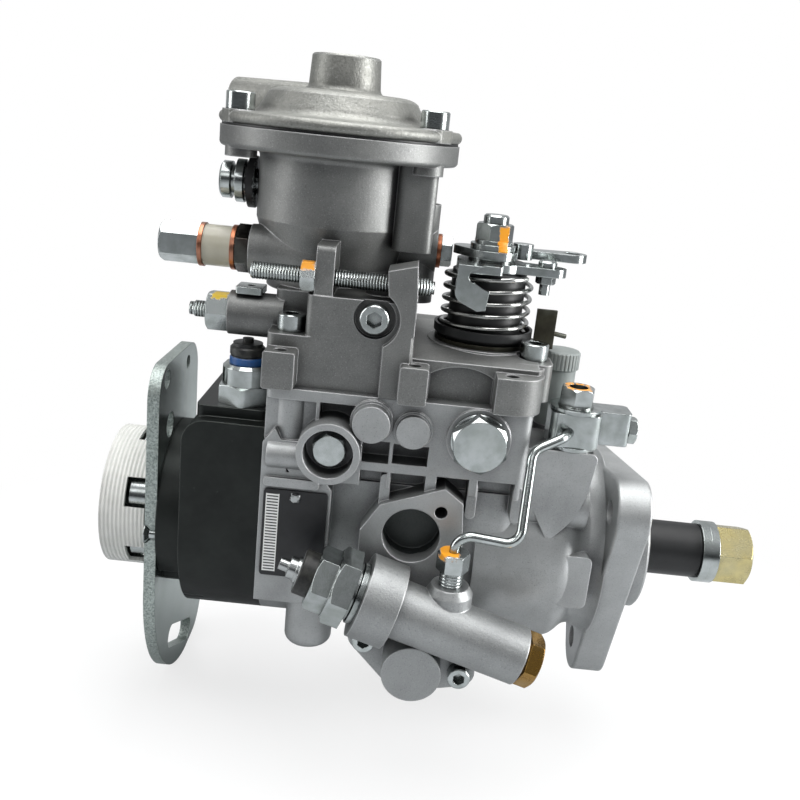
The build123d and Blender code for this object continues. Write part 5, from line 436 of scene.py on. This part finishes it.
# ---------------------------------------------------------------- stage
def floor_paper(stage):
    """White paper that takes a soft shadow round the pump and is plain white farther off."""
    material, tree, place = start_material("White studio paper")
    seen = add_node(tree, "ShaderNodeLightPath", output="Is Camera Ray")
    shade = add_node(tree, MIX, {0: seen, 6: linear(stage.floor_bounce), 7: linear(stage.floor)},
                     data_type="RGBA")
    paper = add_node(tree, "ShaderNodeBsdfDiffuse", {"Color": shade})
    glow = add_node(tree, "ShaderNodeEmission", {"Color": linear("#ffffff"), "Strength": 1.0})
    distance = add_node(tree, VECTOR_MATH, {0: place}, operation="LENGTH")
    shown_to, gone_at = SHADOW_RADII
    lit = add_node(tree, MAP_RANGE, {"Value": distance, "From Min": shown_to, "From Max": gone_at,
                                     "To Min": WHITE_SHARE, "To Max": 1.0})
    white = add_node(tree, MATH, {0: seen, 1: lit}, operation="MULTIPLY")
    both = add_node(tree, "ShaderNodeMixShader", {0: white, 1: paper, 2: glow})
    add_node(tree, "ShaderNodeOutputMaterial", {"Surface": both})
    return material


def lay_floor(context, stage):
    """One large flat sheet just under the pump."""
    low, _ = CAD_BOX
    mesh = bpy.data.meshes.new("floor")
    sheet = bmesh.new()
    bmesh.ops.create_grid(sheet, x_segments=1, y_segments=1, size=FLOOR_HALF)
    sheet.to_mesh(mesh)
    sheet.free()
    mesh.materials.append(floor_paper(stage))
    floor = bpy.data.objects.new("floor", mesh)
    floor.location = (*FLOOR_CENTRE, low[2] - FLOOR_GAP)
    context.scene.collection.objects.link(floor)


def light_sky(context, stage):
    """Studio light that is bright above and behind the pump and dark in front, on a white backdrop."""
    world = context.scene.world or bpy.data.worlds.new("Soft studio")
    context.scene.world = world
    tree = start_tree(world)
    direction = add_node(tree, "ShaderNodeTexCoord", output="Generated")
    _, y, z = add_node(tree, "ShaderNodeSeparateXYZ", {0: direction}).node.outputs
    behind = add_node(tree, MAP_RANGE, {"Value": y, "From Min": -0.15, "From Max": 0.6})
    above = add_node(tree, MAP_RANGE, {"Value": z, "From Min": 0.15, "From Max": 0.9})
    bright = add_node(tree, MATH, {0: behind, 1: above}, operation="MAXIMUM")
    sky = add_node(tree, MIX, {0: bright, 6: linear(stage.dark_side), 7: linear("#f2f4f6")},
                   data_type="RGBA")
    ambient = add_node(tree, "ShaderNodeBackground", {"Color": sky, "Strength": stage.ambient})
    white = add_node(tree, "ShaderNodeBackground", {"Color": linear("#ffffff"), "Strength": 1.0})
    seen = add_node(tree, "ShaderNodeLightPath", output="Is Camera Ray")
    both = add_node(tree, "ShaderNodeMixShader", {0: seen, 1: ambient, 2: white})
    add_node(tree, "ShaderNodeOutputWorld", {"Surface": both})


def hang_lamps(context):
    """Soft boxes that all look at the pump."""
    for name, place, power, width, height in LAMPS:
        lamp = bpy.data.lights.new(name, "AREA")
        lamp.shape = "RECTANGLE"
        lamp.size = width
        lamp.size_y = height
        lamp.energy = power
        holder = bpy.data.objects.new(name, lamp)
        holder.location = place
        holder.rotation_euler = (Vector(LAMP_TARGET) - Vector(place)).to_track_quat("-Z", "Y").to_euler()
        context.scene.collection.objects.link(holder)


def place_camera(context, stage):
    """Camera at the angle that the settings give."""
    eye = bpy.data.cameras.new("camera")
    eye.lens = stage.lens
    eye.sensor_width = SENSOR_MM
    eye.clip_start = 0.01
    holder = bpy.data.objects.new("camera", eye)
    holder.matrix_world = (Matrix.Translation(stage.position)
                           @ Matrix.Rotation(math.radians(90) - stage.pitch, 4, "X")
                           @ Matrix.Rotation(stage.roll, 4, "Z"))
    context.scene.collection.objects.link(holder)
    context.scene.camera = holder


# ---------------------------------------------------------------- settings
class PumpFinishSettings(bpy.types.PropertyGroup):
    """Colours that a user of the part would change."""

    casting: StringProperty(name="Casting", description="Blasted aluminium, sRGB hex", default="#a8aaaa")
    casting_pale: StringProperty(name="Casting, pale", description="Paler patches of the castings",
                                 default="#b8baba")
    cover: StringProperty(name="Cover", description="Blasted aluminium of the governor cover",
                          default="#7b7c7b")
    capsule: StringProperty(name="Capsule", description="Sand-cast boost capsule", default="#80817d")
    zinc: StringProperty(name="Zinc plating", description="Bright zinc on steel", default="#c3c8c8")
    yellow_zinc: StringProperty(name="Yellow passivation", description="Shaft nut", default="#d4c68d")
    head: StringProperty(name="Head", description="Blackened distributor head", default="#181b1a")
    paint: StringProperty(name="Paint mark", description="Inspection paint on nuts", default="#e79a1c")


class PumpStageSettings(bpy.types.PropertyGroup):
    """Camera, floor and studio light."""

    lens: FloatProperty(name="Lens", description="Focal length on a 36 mm sensor", default=41.4,
                        min=10, max=200)
    pitch: FloatProperty(name="Pitch", description="Camera tilt below level", default=math.radians(16.5),
                         subtype="ANGLE")
    roll: FloatProperty(name="Roll", description="Camera roll", default=math.radians(5.9), subtype="ANGLE")
    position: FloatVectorProperty(name="Camera", description="Camera position",
                                  default=(-0.094, -0.350, 0.155), subtype="TRANSLATION", unit="LENGTH")
    floor: StringProperty(name="Floor", description="Floor colour, sRGB hex", default="#ececec")
    floor_bounce: StringProperty(name="Floor bounce", description="Floor as the pump sees it, sRGB hex",
                                 default="#b8babc")
    dark_side: StringProperty(name="Dark side", description="Room behind the camera, sRGB hex",
                              default="#36393c")
    ambient: FloatProperty(name="Ambient", description="Strength of the studio's own light", default=0.6,
                           min=0)


# ---------------------------------------------------------------- steps
class PUMP_OT_stage(bpy.types.Operator):
    """Build the floor, the sky, the lamps and the camera"""

    bl_idname = "pump.stage"
    bl_label = "Stage"

    def execute(self, context):
        stage = context.scene.pump_stage
        lay_floor(context, stage)
        light_sky(context, stage)
        hang_lamps(context)
        place_camera(context, stage)
        context.scene.view_settings.view_transform = "Standard"
        return {"FINISHED"}


class PUMP_OT_castings(bpy.types.Operator):
    """Dress the housing, the governor cover, the cold-start unit and the boost capsule"""

    bl_idname = "pump.castings"
    bl_label = "Castings"

    def execute(self, context):
        look = context.scene.pump_finish
        # a clean die casting after blasting: even, matte and slightly cool, with painted shade on the floor
        # of the blind port
        die_cast = blasted_casting("Blasted die-cast aluminium", look.casting, look.casting_pale, "#3a393c",
                                   painted_shades=(PORT_FLOOR_SHADE,))
        dress(die_cast, "pump_housing", "timing_cover")
        # the governor cover: the same grain, in a darker copy of the casting that paints shade onto it, and
        # duller
        dress(blasted_casting("Blasted cover casting", look.cover, "#8b8c8a", "#343334"), "governor_cover")
        # the cold-start unit's casting: coarser grain and a little more shine
        dress(blasted_casting("Blasted unit casting", "#9ea0a0", "#a7a9a9", "#4c4e50", grain_mm=1.1,
                              grain_depth=0.1, roughness=0.46), "cold_start_housing")
        # sand casting: the coarsest grain, on a slightly warm grey
        dress(blasted_casting("Sand-cast aluminium", look.capsule, "#94948f", "#33322f", grain_mm=1.7,
                              grain_depth=0.2), "boost_cover")
        return {"FINISHED"}


class PUMP_OT_head(bpy.types.Operator):
    """Dress the blackened head, its cap and the label beside it"""

    bl_idname = "pump.head"
    bl_label = "Distributor head"

    def execute(self, context):
        look = context.scene.pump_finish
        # blackened and oiled steel: nearly black, with soft cloudy reflections
        dress(black_oxide("Black oxide steel", look.head, "#262a28"), "distributor_head")
        # anodised aluminium: flat black round a printed white strip
        low, high = (Vector(corner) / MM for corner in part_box("name_plate"))
        middle = (low + high) / 2
        rivet_offset = (high.z - low.z) * RIVET_SHARE
        rivets = [(middle.x, low.y, middle.z + side * rivet_offset) for side in (-1, 1)]
        strip = (low.x + STRIP_LEFT, low.x + STRIP_RIGHT, low.z + STRIP_END, high.z - STRIP_END)
        dress(label_plate("Black anodised plate", strip, rivets, STRIP_PITCH), "name_plate")
        # moulded polyethylene: milky white, with fine ribs round it
        dress(moulded_plastic("White polyethylene cap", "#e4e4df", "#d8d8d3", 0.45,
                              ribs=(ORIGIN, ALONG_X, CAP_RIB_PITCH)), "outlet_cap")
        return {"FINISHED"}


class PUMP_OT_plated(bpy.types.Operator):
    """Dress the plated and bare metal pieces outside, some of them with dabs of paint"""

    bl_idname = "pump.plated"
    bl_label = "Plated metal"

    def execute(self, context):
        look = context.scene.pump_finish
        # bright zinc: sharp reflections on a cool pale grey
        dress(plated_steel("Bright zinc-plated steel", look.zinc, "#aab0ae"),
              "cover_screws", "boost_screws", "head_screws", "barrel", "solenoid_body", "return_bolt",
              "face_plugs", "inlet_banjo", "timing_screws", "cold_start_element", "feed_pipe",
              "throttle_lever", "shaft_washers", "valve_holders", "throttle_shaft")
        # pressed plate: smooth greenish faces between coarse sheared edges
        dress(galvanised_plate("Zinc-plated pressed plate", "#9ba5a1", "#c4cdc9"), "rear_bracket")
        # the same zinc, with the black rubber under the vent plug
        dress(plated_steel("Zinc-plated plugs", look.zinc, "#aab0ae", dark=(VENT_RUBBER,)), "port_plugs")
        # yellow passivation: zinc with a straw tint; brass: deeper yellow; copper: dull and salmon-coloured
        dress(plated_steel("Yellow-passivated steel", look.yellow_zinc, "#b8ad80", 0.26), "shaft_nut")
        dress(plated_steel("Turned brass", "#b08a48", "#9a763a", 0.26), "brass_plug")
        dress(plated_steel("Annealed copper", "#b9775a", "#9c5f42", 0.32), "copper_washers")
        # phosphate: nearly black and without shine; dark plating: brownish and still shiny
        dress(plated_steel("Phosphated steel", "#4d4b40", "#3f3d35", 0.5), "stop_plate")
        dress(plated_steel("Dark plated steel", "#5a5450", "#3b3735"), "return_nut")
        # inspection paint: flat opaque dabs over the zinc
        marks = [(centre, reach, look.paint) for centre, reach in PAINT_DABS] + [YELLOW_SEAL]
        dress(plated_steel("Zinc-plated steel with paint dabs", look.zinc, "#aab0ae", marks=marks,
                           threads=SET_SCREW_THREADS),
              "adjusting_screws", "lever_fasteners", "union_nut", "inlet_bolt")
        return {"FINISHED"}


class PUMP_OT_plastics(bpy.types.Operator):
    """Dress caps, sleeves, seals and the two terminals"""

    bl_idname = "pump.plastics"
    bl_label = "Plastics and rubber"

    def execute(self, context):
        # moulded nylon: black with a soft sheen, or cream and slightly clear where it is not dyed
        dress(moulded_plastic("Black nylon", "#101112", "#1a1b1c", 0.42),
              "spring_cup", "taper_sleeve", "shaft_seal", "boost_diaphragm")
        dress(moulded_plastic("Natural nylon sleeve", "#e0dccb", "#d2cdb9", 0.3, clear=0.35),
              "return_sleeve")
        # moulded polypropylene: flat grey
        dress(moulded_plastic("Grey polypropylene cap", "#8c9290", "#7f8583", 0.5), "inlet_cap")
        # two pieces that share a node: blue under black plastic, and black plastic beside a plated stud
        low = Vector(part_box("solenoid_terminal")[0]) / MM
        dress(two_stage("Blue insulator under a black one", ("#1e5390", 0.0, 0.35), ("#141516", 0.0, 0.4),
                        (0.0, 0.0, low.z + BLUE_COLLAR_H), ALONG_Z), "solenoid_terminal")
        towards_terminal = (-math.cos(UNIT_TILT), 0.0, math.sin(UNIT_TILT))
        dress(two_stage("Black disc with a plated stud", ("#121212", 0.0, 0.42), ("#b9bcbc", 1.0, 0.24),
                        UNIT_DISC_END, towards_terminal), "cold_start_terminal")
        return {"FINISHED"}


class PUMP_OT_inside(bpy.types.Operator):
    """Dress what runs inside the housing, and every spring"""

    bl_idname = "pump.inside"
    bl_label = "Inner mechanism"

    def execute(self, context):
        # ground steel: a grey mirror; spring wire: bright and even; stamped steel: duller
        dress(plated_steel("Ground hardened steel", "#8d8d8b", "#747574", 0.22),
              "drive_shaft", "vane_rotor", "vane_ring", "cam_plate", "plunger", "control_collar",
              "roller_ring", "advance_piston", "shutoff_plunger", "boost_pin")
        dress(plated_steel("Spring steel", "#bdbdbb", "#a6a6a4", 0.18),
              "plunger_springs", "timing_spring", "boost_spring", "throttle_spring")
        dress(plated_steel("Stamped steel", "#9a9a96", "#858580", 0.35),
              "governor_pins", "governor_carrier", "governor_sleeve", "governor_lever")
        return {"FINISHED"}


STEPS = (PUMP_OT_stage, PUMP_OT_castings, PUMP_OT_head, PUMP_OT_plated, PUMP_OT_plastics, PUMP_OT_inside)


class PUMP_PT_panel(bpy.types.Panel):
    """List the steps that dress the pump"""

    bl_idname = "PUMP_PT_panel"
    bl_label = "Injection pump"
    bl_space_type = "VIEW_3D"
    bl_region_type = "UI"
    bl_category = "Pump"

    def draw(self, context):
        for step in STEPS:
            self.layout.operator(step.bl_idname)


CLASSES = (PumpFinishSettings, PumpStageSettings) + STEPS + (PUMP_PT_panel,)


def register():
    """Adds the classes and the settings to Blender."""
    for item in CLASSES:
        bpy.utils.register_class(item)
    bpy.types.Scene.pump_finish = PointerProperty(type=PumpFinishSettings)
    bpy.types.Scene.pump_stage = PointerProperty(type=PumpStageSettings)


def unregister():
    """Takes them out again."""
    del bpy.types.Scene.pump_stage
    del bpy.types.Scene.pump_finish
    for item in reversed(CLASSES):
        bpy.utils.unregister_class(item)


def main():
    """Runs every step in order."""
    register()
    bpy.ops.pump.stage()
    bpy.ops.pump.castings()
    bpy.ops.pump.head()
    bpy.ops.pump.plated()
    bpy.ops.pump.plastics()
    bpy.ops.pump.inside()


if __name__ == "__main__":
    main()
